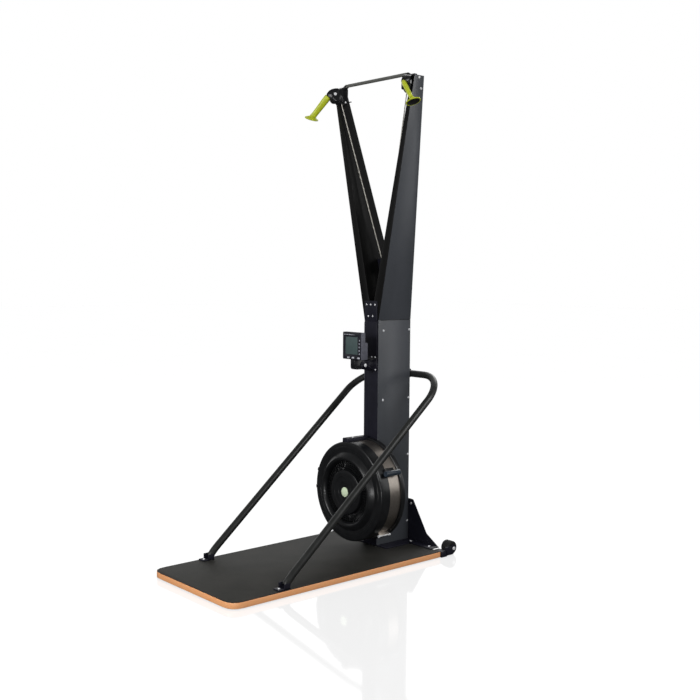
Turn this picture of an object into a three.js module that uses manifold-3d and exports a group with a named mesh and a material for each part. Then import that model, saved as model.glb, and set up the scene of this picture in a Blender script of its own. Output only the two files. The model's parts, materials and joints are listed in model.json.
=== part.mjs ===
// A standing ski trainer: a platform with a column, two arms that carry the cord pulleys and the
// handles, a fan flywheel in a round housing, a performance monitor and a support hoop.
// Sizes are in millimetres. X is to the user's right, Y runs towards the column and Z is up.
// The origin is on the floor, under the middle of the platform.
import * as THREE from 'three';
import { mergeVertices } from 'three/addons/utils/BufferGeometryUtils.js';
import Module from 'manifold-3d';

const wasm = await Module();
wasm.setup();

// Clearances, and the number of sides of round pieces
const seatGap = 0.3;
const overrun = 2;
const roundSides = 48;
const smallSides = 20;
const tubeSides = 16;
const cordSides = 8;
const cornerSteps = 4;

// Platform
const platformLength = 1152;
const platformWidth = 595.5;
const boardThickness = 24;
const deckThickness = 2.4;
const deckInset = 1.5;
const underlayThickness = 2.7;
const underlayInset = 30;
const frontCornerRadius = 60;
const rearCornerRadius = 8;

// Column
const columnWidth = 96;
const columnDepth = 203.5;
const columnTop = 1080;
const columnOverhang = 34;
const panelThickness = 2.5;
const baseWidth = 224;
const baseDepth = 151;
const baseThickness = 5;
const baseCorner = 12;

// Arms
const armTop = 2151;
const armSpread = 268.3;
const armTopWidth = 21.6;
const armTopDepth = 57;
const armLean = 4.5;
const armWall = 2;
const crotchRise = 16.7;
const channelWidth = 26;
const channelDepth = 22;
const channelRise = 70;

// Plates on the front of the column
const coverThickness = 5.5;
const coverWall = 3;
const coverWidth = 86;
const coverDrop = 164;
const coverHeight = 154;
const coverCorner = 5;
const jointPlateWidth = 86;
const jointPlateDrop = 4;
const jointPlateRise = 88;
const jointPlateThickness = 5;
const jointPlateCorner = 8;

// Top bar
const barRadius = 7.75;
const barRise = 12;
const barSetback = 21.3;
const barInset = 78.3;
const barBendWidth = 36;
const barBendDrop = 17;
const barBendSteps = 6;
const sleeveWall = 2.2;
const sleeveStartShare = 1 / 3;

// Cords, pulleys and drums
const cordRadius = 2.5;
const grooveClearance = 0.7;
const pulleyInset = 27.3;
const pulleyReach = 20;
const pulleyDrop = 29;
const pulleyCordRadius = 20;
const pulleyRadius = 22.5;
const pulleyWidth = 11;
const pulleyBoltRadius = 4;
const pulleyLip = 1.2;
const boltHeadRadius = 7;
const boltHeadThickness = 3;
const guideOffset = 16.5;
const guideRise = 250;
const guideSetback = 75.5;
const guideCordRadius = 12.5;
const guideRadius = 15;
const guideWidth = 10;
const guidePinRadius = 3;
const guideHeadRadius = 5;
const guideHeadThickness = 2;
const guidePlateGap = 9;
const guidePlateThickness = 4;
const guidePlateHeight = 60;
const drumCordRadius = 22.5;
const drumRadius = 30;
const drumWidth = 30;
const drumSpacing = 36;
const drumLip = 3;
const cordArcSteps = 8;
const guideArcSteps = 3;
const frameRounds = 8;

// Pulley housings
const headWidth = 30;
const headLength = 64;
const headHeight = 63;
const headCorner = 7;
const headOutlineShares = [
  [-0.34, -0.57], [0.17, -0.575], [0.32, -0.51], [0.4, -0.37], [0.47, -0.16], [0.66, 0.04],
  [0.57, 0.2], [0.38, 0.35], [0.15, 0.425], [-0.08, 0.43], [-0.34, 0.39],
];
const cheekInset = 54.3;
const cheekWidth = 36;
const cheekReach = 17;
const cheekDepth = 56;
const cheekDrop = 73;
const cheekHeight = 82;
const cheekCorner = 6;
const cheekOutlineShares = [
  [0.05, 0.11], [0.27, 0], [0.91, 0], [0.98, 0.24], [1, 0.88], [0.86, 0.99], [0.59, 1], [0.34, 0.91],
  [0.14, 0.83], [0, 0.78],
];
const slotClearance = 1.4;
const cordSlotWidth = 9;
const mouthClearance = 0.9;
const mouthLength = 90;
const mouthSweeps = 4;
const mouthSides = 16;

// Handles
const handleShift = 9;
const handleReach = 30;
const handleDrop = 7;
const handleLength = 134;
const handleTopRadius = 12;
const handleDomeSteps = 5;
const flangeRadius = 31.5;
const flangeHeight = 8;
const handleWayShares = [0.672, -0.216, -0.709];
const flangeWayShares = [0.53, -0.12, -0.84];
const pullWayShares = [0, -0.349, -0.937];
const gripOutlineShares = [[1, 0.04], [0.98, 0.2], [0.84, 0.5], [0.78, 0.7], [0.88, 0.86], [1.3, 0.95]];
const flangeOutlineShares = [
  [0.3, -1.1], [0.62, -0.75], [0.97, -0.1], [1, 0.25], [0.96, 0.6], [0.88, 0.5], [0.7, -0.2], [0.3, -0.5],
];

// Flywheel housing
const wheelLift = 64;
const frontShellRadius = 228;
const frontShellDepth = 73;
const shellWall = 3;
const dishRadius = 98;
const dishSink = 5;
const dishSlope = 4;
const dishGrooveRadii = [44, 72];
const dishGrooveWidth = 3;
const dishGrooveDepth = 1.2;
const grilleRadius = 138;
const grilleSink = 19;
const crestInner = 151;
const crestOuter = 160;
const flankRadius = 174;
const flankSink = 15;
const rimRadius = 180;
const rimSink = 21;
const rimRound = 6;
const grilleSlots = 20;
const grilleSlotWidth = 26;
const grilleMargin = 3;
const frontBossRadius = 14;
const frontBossDepth = 14;
const hubCapRadius = 22.5;
const hubCapThickness = 6;
const hubCapEdgeShare = 0.8;
const bandWidth = 49.4;
const bandInset = 2;
const bandThickness = 1.6;
const tabWidth = 22;
const tabHeight = 15;
const tabThickness = 4;
const tabGap = 8;
const tabAngle = -50;
const rearShellStep = 7;
const rearShellDepth = 36;
const rearShellWall = 4;
const rearShellRound = 6;
const rearBossRadius = 16;
const rearBossDepth = 16;

// Fan flywheel
const axleRadius = 8;
const axleRearGap = 7;
const fanClearance = 21;
const fanHubRadius = 26;
const fanHubDepth = 30;
const fanSleeveRadius = 13;
const fanDiscThickness = 4;
const fanBladeDepth = 50;
const fanBladeThickness = 3;
const fanBladeInner = 92;
const fanBlades = 18;
const fanEndGap = 2;
const fanSetback = 20;

// Bracket over the flywheel housing
const lugWidth = 85;
const lugShift = -2.5;
const lugRise = 20;
const lugArmWidth = 40;
const lugDrop = 60;
const lugChamfer = 12;
const lugSetback = 24;

// Damper
const damperAngle = 26.6;
const damperRadius = 13.2;
const damperLift = 22;
const damperOverhang = 28;
const damperTail = 10;
const damperNeckShare = 0.7;
const saddleSpan = 11;
const saddleClearance = 0.5;
const saddleThickness = 5;

// Rear brace
const braceThickness = 4;
const braceTop = 228;
const braceTopWidth = 154;
const braceShoulder = 81;
const braceShoulderWidth = 336;
const braceTip = 31;
const braceWidth = 496;
const braceCorner = 14;
const braceFootThickness = 5;

// Transport wheels
const transportRadius = 31;
const transportWidth = 34;
const transportRound = 5;
const transportClearance = 1;
const transportOffset = 278;
const transportReach = 78;
const transportAxleRadius = 5;
const bracketThickness = 4;
const bracketGap = 4;
const bracketNose = 12;
const bracketBlockBottom = 1;
const bracketBlockHeight = 27;
const bracketBlockDepth = 28;
const bracketCorner = 10;
const axleHeadRadius = 8;
const axleHeadThickness = 4;

// Hoop
const hoopRadius = 16;
const hoopWall = 2;
const hoopWidth = 546.8;
const hoopHeight = 822;
const hoopSlope = 40.25;
const hoopCornerReach = 3.4;
const hoopRearReach = 19;
const hoopBend = 152;
const hoopBendPull = 84;
const hoopBendSteps = 8;
const hoopEndHeight = 48;
const hoopEndBend = 70;
const hoopEndKink = 37;
const hoopEndSteps = 4;
const hoopEndReach = 290;
const hoopFootFront = 219;
const hoopFootLength = 76;
const hoopFootWidth = 39;
const hoopFootThickness = 5;
const hoopCheekThickness = 3;
const hoopCheekHeight = 42;
const hoopCheekOutlineShares = [[0.45, 0], [0.98, 0], [1.04, 0.9], [0.94, 1], [0.6, 0.35]];
const clampWidth = 36;
const clampHeight = 42;
const clampDepth = 38;
const clampCorner = 8;

// Monitor
const monitorWidth = 132;
const monitorHeight = 124;
const monitorDrop = 177;
const monitorReach = 115.5;
const monitorCorner = 6;
const bezelThickness = 4.5;
const caseDepth = 14;
const caseWall = 2.5;
const bulgeDepth = 36;
const bulgeHeight = 78;
const bulgeInset = 8;
const bulgeCorner = 8;
const lensWidth = 84;
const lensHeight = 80;
const lensShift = -7;
const lensLift = 23;
const lensThickness = 2;
const lensSink = 1;
const menuButtonRadius = 4;
const menuButtonOffset = 47;
const menuButtonCount = 5;
const menuButtonRise = 87.5;
const menuButtonPitch = 15.2;
const keyWidth = 16;
const keyHeight = 7.4;
const keyRise = 8;
const keyOffsets = { left: -28, middle: 3, right: 41 };
const buttonProud = 1.5;
const buttonFlange = 1;
const buttonFlangeThickness = 1.2;
const cradleWidth = 30;
const cradleDrop = 46;
const cradleSetback = 2;
const cradleCorner = 14;
const pivotSetback = 59.5;
const pivotDrop = 28;
const pivotRadius = 5;
const pivotBossRadius = 18;
const knobRadius = 8;
const knobThickness = 7;
const forkThickness = 4;
const forkHeight = 40;
const forkPlateWidth = 84;
const forkPlateDrop = 57;
const forkPlateHeight = 62;
const forkPlateThickness = 6;
const forkCorner = 6;

// Places that follow from the sizes above
const frontY = -platformLength / 2;
const rearY = platformLength / 2;
const boardBottom = underlayThickness + seatGap;
const boardTop = boardBottom + boardThickness;
const deckBottom = boardTop + seatGap;
const deckTop = deckBottom + deckThickness;
const baseBottom = deckTop + seatGap;
const baseTop = baseBottom + baseThickness;
const columnRearY = rearY + columnOverhang;
const columnFrontY = columnRearY - columnDepth;
const columnHalf = columnWidth / 2;
const columnBottom = baseTop + seatGap;
const baseFrontY = columnFrontY + panelThickness;
const baseRearY = baseFrontY + baseDepth;
const armBottom = columnTop + seatGap;
const armTopFrontY = columnFrontY - armLean;
const armTopRearY = armTopFrontY + armTopDepth;
const armInnerTop = armSpread - armTopWidth;
const crotchHeight = columnTop + crotchRise;
const channelTop = columnTop + channelRise;
const coverBottom = columnTop - coverDrop;
const jointPlateBottom = columnTop - jointPlateDrop;
const jointPlateTop = columnTop + jointPlateRise;
const guideHeight = columnTop + guideRise;
const barY = armTopFrontY + barSetback;
const barHeight = armTop + barRise;
const barStraight = armSpread - barInset;
const pulleyOffset = armSpread - pulleyInset;
const pulleyHeight = armTop - pulleyDrop;
const cheekOffset = armSpread - cheekInset;
const cheekBottom = armTop - cheekDrop;
const rearShellFrontY = columnFrontY - seatGap - rearShellDepth;
const bandRearY = rearShellFrontY - seatGap;
const bandFrontY = bandRearY - bandWidth;
const frontShellRearY = bandFrontY - seatGap;
const crestY = frontShellRearY - frontShellDepth;
const dishY = crestY + dishSink;
const bandRadius = frontShellRadius - bandInset;
const rearShellRadius = frontShellRadius + rearShellStep;
const fanRadius = bandRadius - fanClearance;
const damperTrack = frontShellRadius + damperLift;
const wheelHeight = rearShellRadius + wheelLift;
const lugTop = wheelHeight + frontShellRadius + lugRise;
const monitorFrontY = columnFrontY - monitorReach;
const pivotY = columnFrontY - pivotSetback;
const monitorBottom = columnTop - monitorDrop;
const menuButtonTop = monitorBottom + menuButtonRise;
const keyLevel = monitorBottom + keyRise;
const cradleBottom = monitorBottom - cradleDrop;
const pivotHeight = monitorBottom - pivotDrop;
const forkPlateBottom = monitorBottom - forkPlateDrop;

// Finishes
function finish(color, roughness, metalness) {
  return new THREE.MeshStandardMaterial({ color, roughness, metalness, flatShading: true });
}

const frontPaint = finish('#1f1f2a', 0.45, 0.2);
const sidePaint = finish('#4a4d52', 0.4, 0.2);
const blackPlastic = finish('#1c1d20', 0.4, 0);
const casePlastic = finish('#1d1e28', 0.45, 0);
const greyPlastic = finish('#55565f', 0.5, 0);
const barPaint = finish('#3a3b3d', 0.4, 0.4);
const tubePaint = finish('#2a2b2a', 0.35, 0.4);
const rubber = finish('#141414', 0.9, 0);
const deckSkin = finish('#3b3a37', 0.85, 0);
const birch = finish('#d79b6b', 0.6, 0);
const limePlastic = finish('#b5c334', 0.4, 0);
const paleGreen = finish('#b9cda5', 0.4, 0);
const steel = finish('#9a928a', 0.35, 0.9);
const cordSkin = finish('#c9c6bf', 0.8, 0);
const bluePlastic = finish('#2c3540', 0.3, 0);
const screen = finish('#414c4f', 0.2, 0);
const buttonSkin = finish('#3c3d46', 0.6, 0);

const machine = new THREE.Group();
const X = new THREE.Vector3(1, 0, 0);
const Y = new THREE.Vector3(0, 1, 0);
const Z = new THREE.Vector3(0, 0, 1);

function vector(x, y, z) {
  return new THREE.Vector3(x, y, z);
}

function radians(degrees) {
  return THREE.MathUtils.degToRad(degrees);
}

// A group of pieces that stands at a working centre of the machine.
function section(place) {
  const group = new THREE.Group();
  group.position.copy(place);
  machine.add(group);
  return group;
}

// Adds a piece that is drawn in the machine's frame, with its own origin at a place in that frame.
function add(name, geometry, material, place = vector(0, 0, 0), group = machine) {
  const mesh = new THREE.Mesh(geometry.clone().translate(-place.x, -place.y, -place.z), material.clone());
  mesh.name = name;
  mesh.position.copy(place).sub(group.position);
  group.add(mesh);
}

// Solids

// Keeps only the places of a geometry's corners, each of them once.
function bare(geometry) {
  if (geometry.userData.welded) return geometry.clone();
  const copy = geometry.clone();
  for (const name of Object.keys(copy.attributes)) {
    if (name !== 'position') copy.deleteAttribute(name);
  }
  const shell = mergeVertices(copy);
  shell.userData = { welded: true };
  return shell;
}

// Turns a shell's faces outwards, whichever way round its outline was drawn, and drops empty faces.
function outward(geometry) {
  const shell = bare(geometry);
  const place = shell.attributes.position;
  const corners = [vector(0, 0, 0), vector(0, 0, 0), vector(0, 0, 0)];
  const faces = [];
  let volume = 0;
  for (let i = 0; i < shell.index.count; i += 3) {
    const face = [0, 1, 2].map((j) => shell.index.getX(i + j));
    if (new Set(face).size < face.length) continue;
    corners.forEach((corner, j) => corner.fromBufferAttribute(place, face[j]));
    volume += corners[0].dot(corners[1].clone().cross(corners[2]));
    faces.push(face);
  }
  if (volume < 0) faces.forEach((face) => face.reverse());
  shell.setIndex(faces.flat());
  return shell;
}

function solid(geometry) {
  const shell = outward(geometry);
  return new wasm.Manifold(new wasm.Mesh({
    numProp: 3,
    vertProperties: new Float32Array(shell.attributes.position.array),
    triVerts: new Uint32Array(shell.index.array),
  }));
}

function shellOf(manifold) {
  const mesh = manifold.getMesh();
  const geometry = new THREE.BufferGeometry();
  geometry.setAttribute('position', new THREE.BufferAttribute(new Float32Array(mesh.vertProperties), 3));
  geometry.setIndex(new THREE.BufferAttribute(new Uint32Array(mesh.triVerts), 1));
  geometry.userData = { welded: true };
  return geometry;
}

function cut(geometry, ...tools) {
  return shellOf(tools.reduce((body, tool) => body.subtract(solid(tool)), solid(geometry)));
}

function join(geometry, ...more) {
  return shellOf(more.reduce((body, other) => body.add(solid(other)), solid(geometry)));
}

function common(geometry, other) {
  return shellOf(solid(geometry).intersect(solid(other)));
}

function mirrored(geometry) {
  return outward(bare(geometry).scale(-1, 1, 1));
}

// Adds a right-hand piece and its mirror image.
function addPair(name, geometry, material, place = vector(0, 0, 0)) {
  add(`${name}_right`, geometry, material, place);
  add(`${name}_left`, mirrored(geometry), material, vector(-place.x, place.y, place.z));
}

// Shapes

function box(x0, x1, y0, y1, z0, z1) {
  const geometry = new THREE.BoxGeometry(x1 - x0, y1 - y0, z1 - z0);
  return geometry.translate((x0 + x1) / 2, (y0 + y1) / 2, (z0 + z1) / 2);
}

function outline(points) {
  return new THREE.Shape(points.map(([u, v]) => new THREE.Vector2(u, v)));
}

// Rounds each corner of an outline by its own radius, or by the given one.
function roundedOutline(points, radius) {
  const shape = new THREE.Shape();
  const count = points.length;
  points.forEach(([u, v, own], i) => {
    const corner = new THREE.Vector2(u, v);
    const before = new THREE.Vector2(...points[(i + count - 1) % count].slice(0, 2)).sub(corner);
    const after = new THREE.Vector2(...points[(i + 1) % count].slice(0, 2)).sub(corner);
    const room = Math.min(before.length(), after.length()) / 2;
    const half = before.clone().normalize().angleTo(after.clone().normalize()) / 2;
    const reach = Math.min((own ?? radius) / Math.tan(half), room);
    const start = corner.clone().addScaledVector(before.normalize(), reach);
    const end = corner.clone().addScaledVector(after.normalize(), reach);
    if (i === 0) shape.moveTo(start.x, start.y);
    else shape.lineTo(start.x, start.y);
    if (reach > 0) shape.quadraticCurveTo(corner.x, corner.y, end.x, end.y);
  });
  shape.closePath();
  return shape;
}

function rectangle(x0, x1, y0, y1, radius) {
  return roundedOutline([[x0, y0], [x1, y0], [x1, y1], [x0, y1]], radius);
}

// Extrudes a drawing whose u and v lie along two axes.
function extruded(shape, depth, uAxis, vAxis, origin) {
  const options = { depth, bevelEnabled: false, curveSegments: cornerSteps };
  const geometry = new THREE.ExtrudeGeometry(shape, options);
  const basis = new THREE.Matrix4().makeBasis(uAxis, vAxis, uAxis.clone().cross(vAxis));
  return geometry.applyMatrix4(basis).translate(origin.x, origin.y, origin.z);
}

// A plate drawn from above in X and Y, from z0 up to z1.
function floorPlate(shape, z0, z1) {
  return extruded(shape, z1 - z0, X, Y, vector(0, 0, z0));
}

// A plate drawn from the front in X and Z, from y0 back to y1.
function frontPlate(shape, y0, y1) {
  return extruded(shape, y1 - y0, X, Z, vector(0, y1, 0));
}

// A plate drawn from the side in Y and Z, from x0 to x1.
function sidePlate(shape, x0, x1) {
  return extruded(shape, x1 - x0, Y, Z, vector(x0, 0, 0));
}

// A round bar between two points.
function rod(start, end, radius, sides = smallSides) {
  const way = end.clone().sub(start);
  const geometry = new THREE.CylinderGeometry(radius, radius, way.length(), sides);
  geometry.applyQuaternion(new THREE.Quaternion().setFromUnitVectors(Y, way.clone().normalize()));
  const middle = start.clone().add(end).divideScalar(2);
  return geometry.translate(middle.x, middle.y, middle.z);
}

function crossRod(x0, x1, y, z, radius) {
  return rod(vector(x0, y, z), vector(x1, y, z), radius);
}

// A turned piece, whose profile gives radius and distance along its axis.
function turned(profile, place, axis, sides = roundSides) {
  const points = profile.map(([radius, along]) => new THREE.Vector2(radius, along));
  const geometry = new THREE.LatheGeometry(points, sides);
  geometry.applyQuaternion(new THREE.Quaternion().setFromUnitVectors(Y, axis));
  return outward(geometry.translate(place.x, place.y, place.z));
}

const wheelCentre = vector(0, 0, wheelHeight);

function aboutWheel(profile, sides) {
  return turned(profile, wheelCentre, Y, sides);
}

// A route through chosen points, with a section square to it at each one.
class Route extends THREE.Curve {
  constructor(points) {
    super();
    this.points = points;
  }

  getPoint(share) {
    const last = this.points.length - 1;
    const place = Math.min(Math.max(share, 0), 1) * last;
    const low = Math.min(Math.floor(place), last - 1);
    return this.points[low].clone().lerp(this.points[low + 1], place - low);
  }

  getPointAt(share) {
    return this.getPoint(share);
  }

  getTangent(share) {
    const last = this.points.length - 1;
    const i = Math.round(share * last);
    const here = this.points[i];
    const tangent = vector(0, 0, 0);
    if (i > 0) tangent.add(here.clone().sub(this.points[i - 1]).normalize());
    if (i < last) tangent.add(this.points[i + 1].clone().sub(here).normalize());
    return tangent.normalize();
  }

  getTangentAt(share) {
    return this.getTangent(share);
  }
}

function circle(radius, sides) {
  const points = [];
  for (let i = 0; i < sides; i += 1) {
    const angle = (2 * Math.PI * i) / sides;
    points.push(new THREE.Vector2(radius * Math.cos(angle), radius * Math.sin(angle)));
  }
  return points;
}

function tube(points, radius, sides, bore = 0) {
  const shape = new THREE.Shape(circle(radius, sides));
  if (bore > 0) shape.holes.push(new THREE.Path(circle(bore, sides)));
  const extrudePath = new Route(points);
  return new THREE.ExtrudeGeometry(shape, { steps: points.length - 1, extrudePath });
}

function curvePoints(curve, steps) {
  const points = [];
  for (let i = 0; i <= steps; i += 1) points.push(curve.getPoint(i / steps));
  return points;
}

// Platform

function platformOutline(inset) {
  const half = platformWidth / 2 - inset;
  const front = Math.max(frontCornerRadius - inset, 0);
  const rear = Math.max(rearCornerRadius - inset, 0);
  const low = frontY + inset;
  const high = rearY - inset;
  const corners = [[-half, low, front], [half, low, front], [half, high, rear], [-half, high, rear]];
  return roundedOutline(corners, 0);
}

function buildPlatform() {
  const platform = section(vector(0, 0, 0));
  const layers = [
    ['underlay_pad', underlayInset, 0, underlayThickness, rubber],
    ['platform_board', 0, boardBottom, boardTop, birch],
    ['deck_sheet', deckInset, deckBottom, deckTop, deckSkin],
  ];
  for (const [name, inset, low, high, material] of layers) {
    add(name, floorPlate(platformOutline(inset), low, high), material, vector(0, 0, low), platform);
  }
}

// Column

function buildColumn() {
  const middleY = (columnFrontY + columnRearY) / 2;
  const column = section(vector(0, middleY, baseBottom));
  const plate = rectangle(-baseWidth / 2, baseWidth / 2, baseFrontY, baseRearY, baseCorner);
  add('base_plate', floorPlate(plate, baseBottom, baseTop), frontPaint, column.position, column);
  const inner = columnHalf - panelThickness;
  const side = box(inner, columnHalf, columnFrontY, columnRearY, columnBottom, columnTop);
  addPair('column_side', side, sidePaint, vector(inner, middleY, columnBottom));
  const half = inner - seatGap;
  const front = box(-half, half, columnFrontY, columnFrontY + panelThickness, columnBottom, columnTop);
  const boreStart = wheelCentre.clone().setY(columnFrontY - overrun);
  const boreEnd = wheelCentre.clone().setY(columnFrontY + panelThickness + overrun);
  const bore = rod(boreStart, boreEnd, axleRadius + seatGap);
  add('column_front', cut(front, bore), frontPaint, vector(0, columnFrontY, columnBottom), column);
  const rear = box(-half, half, columnRearY - panelThickness, columnRearY, columnBottom, columnTop);
  add('column_rear', rear, frontPaint, vector(0, columnRearY, columnBottom), column);
}

function buildFrontPlates() {
  const half = coverWidth / 2;
  const coverRear = columnFrontY - seatGap;
  const shape = rectangle(-half, half, coverBottom, coverBottom + coverHeight, coverCorner);
  const pocket = box(
    -half + coverWall, half - coverWall, coverRear - coverThickness + coverWall, coverRear + overrun,
    coverBottom + coverWall, coverBottom + coverHeight - coverWall,
  );
  const cover = cut(frontPlate(shape, coverRear - coverThickness, coverRear), pocket);
  add('front_cover', cover, frontPaint, vector(0, coverRear, coverBottom));
  const plateHalf = jointPlateWidth / 2;
  const plateShape = rectangle(-plateHalf, plateHalf, jointPlateBottom, jointPlateTop, jointPlateCorner);
  const share = (jointPlateTop - armBottom) / (armTop - armBottom);
  const plateRear = columnFrontY - armLean * share - seatGap;
  const plate = frontPlate(plateShape, plateRear - jointPlateThickness, plateRear);
  add('arm_joint_plate', plate, frontPaint, vector(0, plateRear, jointPlateBottom));
}

// Arms

function armFront(bottom) {
  const slope = (armSpread - columnHalf) / (armTop - armBottom);
  const outer = columnHalf + (bottom - armBottom) * slope;
  const inner = seatGap / 2;
  return [
    [inner, bottom], [outer, bottom], [armSpread, armTop], [armInnerTop, armTop], [inner, crotchHeight],
  ];
}

function armSide(bottom) {
  const share = (bottom - armBottom) / (armTop - armBottom);
  const front = columnFrontY + (armTopFrontY - columnFrontY) * share;
  const rear = columnRearY + (armTopRearY - columnRearY) * share;
  return [[front, bottom], [rear, bottom], [armTopRearY, armTop], [armTopFrontY, armTop]];
}

// Moves each edge of an outline, drawn anticlockwise, inwards by a wall.
function insetOutline(points, wall) {
  const lines = points.map((point, i) => {
    const start = new THREE.Vector2(...point);
    const way = new THREE.Vector2(...points[(i + 1) % points.length]).sub(start).normalize();
    return { start: start.addScaledVector(new THREE.Vector2(-way.y, way.x), wall), way };
  });
  return lines.map((line, i) => {
    const before = lines[(i + lines.length - 1) % lines.length];
    const reach = line.start.clone().sub(before.start).cross(line.way) / before.way.cross(line.way);
    const corner = before.start.clone().addScaledVector(before.way, reach);
    return [corner.x, corner.y];
  });
}

// An arm's block, in by a wall from its outer faces, or out where the wall is less than zero.
function armBlock(wall, bottom) {
  const front = insetOutline(armFront(bottom), wall);
  const side = insetOutline(armSide(bottom), wall);
  const wide = frontPlate(outline(front), armTopFrontY - armTopDepth, columnRearY + armTopDepth);
  const deep = sidePlate(outline(side), -armTopWidth, armSpread + armTopWidth);
  return common(wide, deep);
}

// Ways of the cord, worked out for the right side

const handleWay = vector(...handleWayShares).normalize();
const flangeWay = vector(...flangeWayShares).normalize();
const pullWay = vector(...pullWayShares).normalize();
const pulleyCentre = vector(pulleyOffset, armTopFrontY - pulleyReach, pulleyHeight);
const handleTop = pulleyCentre.clone().add(vector(handleShift, -handleReach, -handleDrop));
const handleBall = handleTop.clone().addScaledVector(handleWay, handleTopRadius);
const guideY = columnFrontY + guideSetback;
const guideCentre = vector(guideOffset, guideY, guideHeight);

// The pulley lies in one plane with the handle's top and with the cord's way to its guide.
function pulleyFrame() {
  const frame = { ahead: Y.clone().negate(), up: Z.clone() };
  for (let i = 0; i < frameRounds; i += 1) {
    frame.aside = vector(-frame.up.z, 0, frame.up.x).normalize();
    frame.low = guideCentre.clone().addScaledVector(frame.aside, guideCordRadius);
    frame.high = pulleyCentre.clone().addScaledVector(frame.ahead, -pulleyCordRadius);
    frame.up = frame.high.sub(frame.low).normalize();
    frame.axis = frame.up.clone().cross(handleBall.clone().sub(pulleyCentre)).normalize();
    frame.ahead = frame.axis.clone().cross(frame.up).normalize();
  }
  return frame;
}

const cordFrame = pulleyFrame();

function onPulley(angle) {
  return pulleyCentre.clone()
    .addScaledVector(cordFrame.ahead, pulleyCordRadius * Math.cos(angle))
    .addScaledVector(cordFrame.up, pulleyCordRadius * Math.sin(angle));
}

// Where the cord leaves the pulley for the handle, counted from straight ahead.
function leaveAngle() {
  const ball = handleBall.clone().sub(pulleyCentre);
  const lift = Math.atan2(ball.dot(cordFrame.up), ball.dot(cordFrame.ahead));
  return lift + Math.acos(pulleyCordRadius / ball.length());
}

// Both cords reach their drums on the same side, so that both drive the wheel one way.
function cordPoints(side, drumY) {
  const leave = leaveAngle();
  const toPulley = onPulley(leave).sub(handleBall).normalize();
  const points = [handleBall.clone().addScaledVector(toPulley, handleTopRadius + grooveClearance)];
  for (let i = 0; i <= cordArcSteps; i += 1) {
    points.push(onPulley(leave + ((Math.PI - leave) * i) / cordArcSteps));
  }
  const lean = Math.atan2(cordFrame.aside.z, -cordFrame.aside.x);
  for (let i = 0; i <= guideArcSteps; i += 1) {
    const angle = lean * (1 - i / guideArcSteps);
    const x = guideOffset - guideCordRadius * Math.cos(angle);
    points.push(vector(x, guideY, guideHeight + guideCordRadius * Math.sin(angle)));
  }
  points.push(vector(side * drumCordRadius, drumY, wheelHeight));
  return points;
}

// A pulley's profile: a groove for the cord between two lips.
function pulleyProfile(bore, cordTrack, radius, width, lip) {
  const half = width / 2;
  const floor = cordTrack - cordRadius - seatGap;
  const floorHalf = cordRadius + grooveClearance;
  return [
    [bore, -half], [radius, -half], [radius, -half + lip], [floor, -floorHalf],
    [floor, floorHalf], [radius, half - lip], [radius, half], [bore, half], [bore, -half],
  ];
}

function alongAxis(distance) {
  return pulleyCentre.clone().addScaledVector(cordFrame.axis, distance);
}

function pulleySpace() {
  const half = pulleyWidth / 2 + slotClearance;
  return rod(alongAxis(-half), alongAxis(half), pulleyRadius + slotClearance, roundSides / 2);
}

// The way out of the housing for the falling part of the cord.
function cordSpace() {
  const high = onPulley(Math.PI);
  return rod(high.clone().addScaledVector(cordFrame.up, -2 * cheekHeight), high, cordSlotWidth / 2);
}

function buildArms() {
  const depth = channelDepth / 2;
  const channel = box(
    -channelWidth / 2, channelWidth / 2, guideY - depth, guideY + depth, armBottom - overrun, channelTop,
  );
  const hollow = armBlock(armWall, armBottom - armWall - overrun);
  const arm = cut(armBlock(0, armBottom), hollow, channel, pulleySpace(), cordSpace());
  addPair('arm', arm, sidePaint, vector(seatGap / 2, columnFrontY, armBottom));
}

// Top bar

function barEnd(extra) {
  const end = vector(barStraight + barBendWidth, barY, barHeight - barBendDrop);
  const bend = new THREE.QuadraticBezierCurve3(
    vector(barStraight, barY, barHeight), vector(barStraight + barBendWidth / 2, barY, barHeight), end,
  );
  const points = curvePoints(bend, barBendSteps);
  const way = end.clone().sub(points[barBendSteps - 1]).normalize();
  points.push(end.clone().addScaledVector(way, extra));
  return points;
}

function buildBar() {
  const right = barEnd(seatGap);
  const left = right.map((point) => vector(-point.x, point.y, point.z)).reverse();
  add('top_bar', tube([...left, ...right], barRadius, tubeSides), barPaint, vector(0, barY, barHeight));
}

// Pulley housings

// The room in which the handle's top sits and leaves, from its rest way to the way of the pull.
function mouthSpaces() {
  const ball = new THREE.SphereGeometry(handleTopRadius + mouthClearance, mouthSides, mouthSides / 2);
  ball.translate(handleBall.x, handleBall.y, handleBall.z);
  const spaces = [ball, rod(handleBall, onPulley(leaveAngle()), cordSlotWidth / 2)];
  for (let i = 0; i < mouthSweeps; i += 1) {
    const way = handleWay.clone().lerp(pullWay, i / (mouthSweeps - 1)).normalize();
    const end = handleBall.clone().addScaledVector(way, mouthLength);
    spaces.push(rod(handleBall, end, handleTopRadius + mouthClearance, mouthSides));
  }
  return spaces;
}

// The room for the pulley's bolt and for its heads outside the head of the housing.
function boltSpaces() {
  const side = headWidth / 2;
  const pin = rod(alongAxis(-headWidth), alongAxis(headWidth), pulleyBoltRadius + seatGap);
  const heads = [-1, 1].map((way) => (
    rod(alongAxis(way * side), alongAxis(way * headWidth), boltHeadRadius + seatGap)
  ));
  return [pin, ...heads];
}

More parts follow.
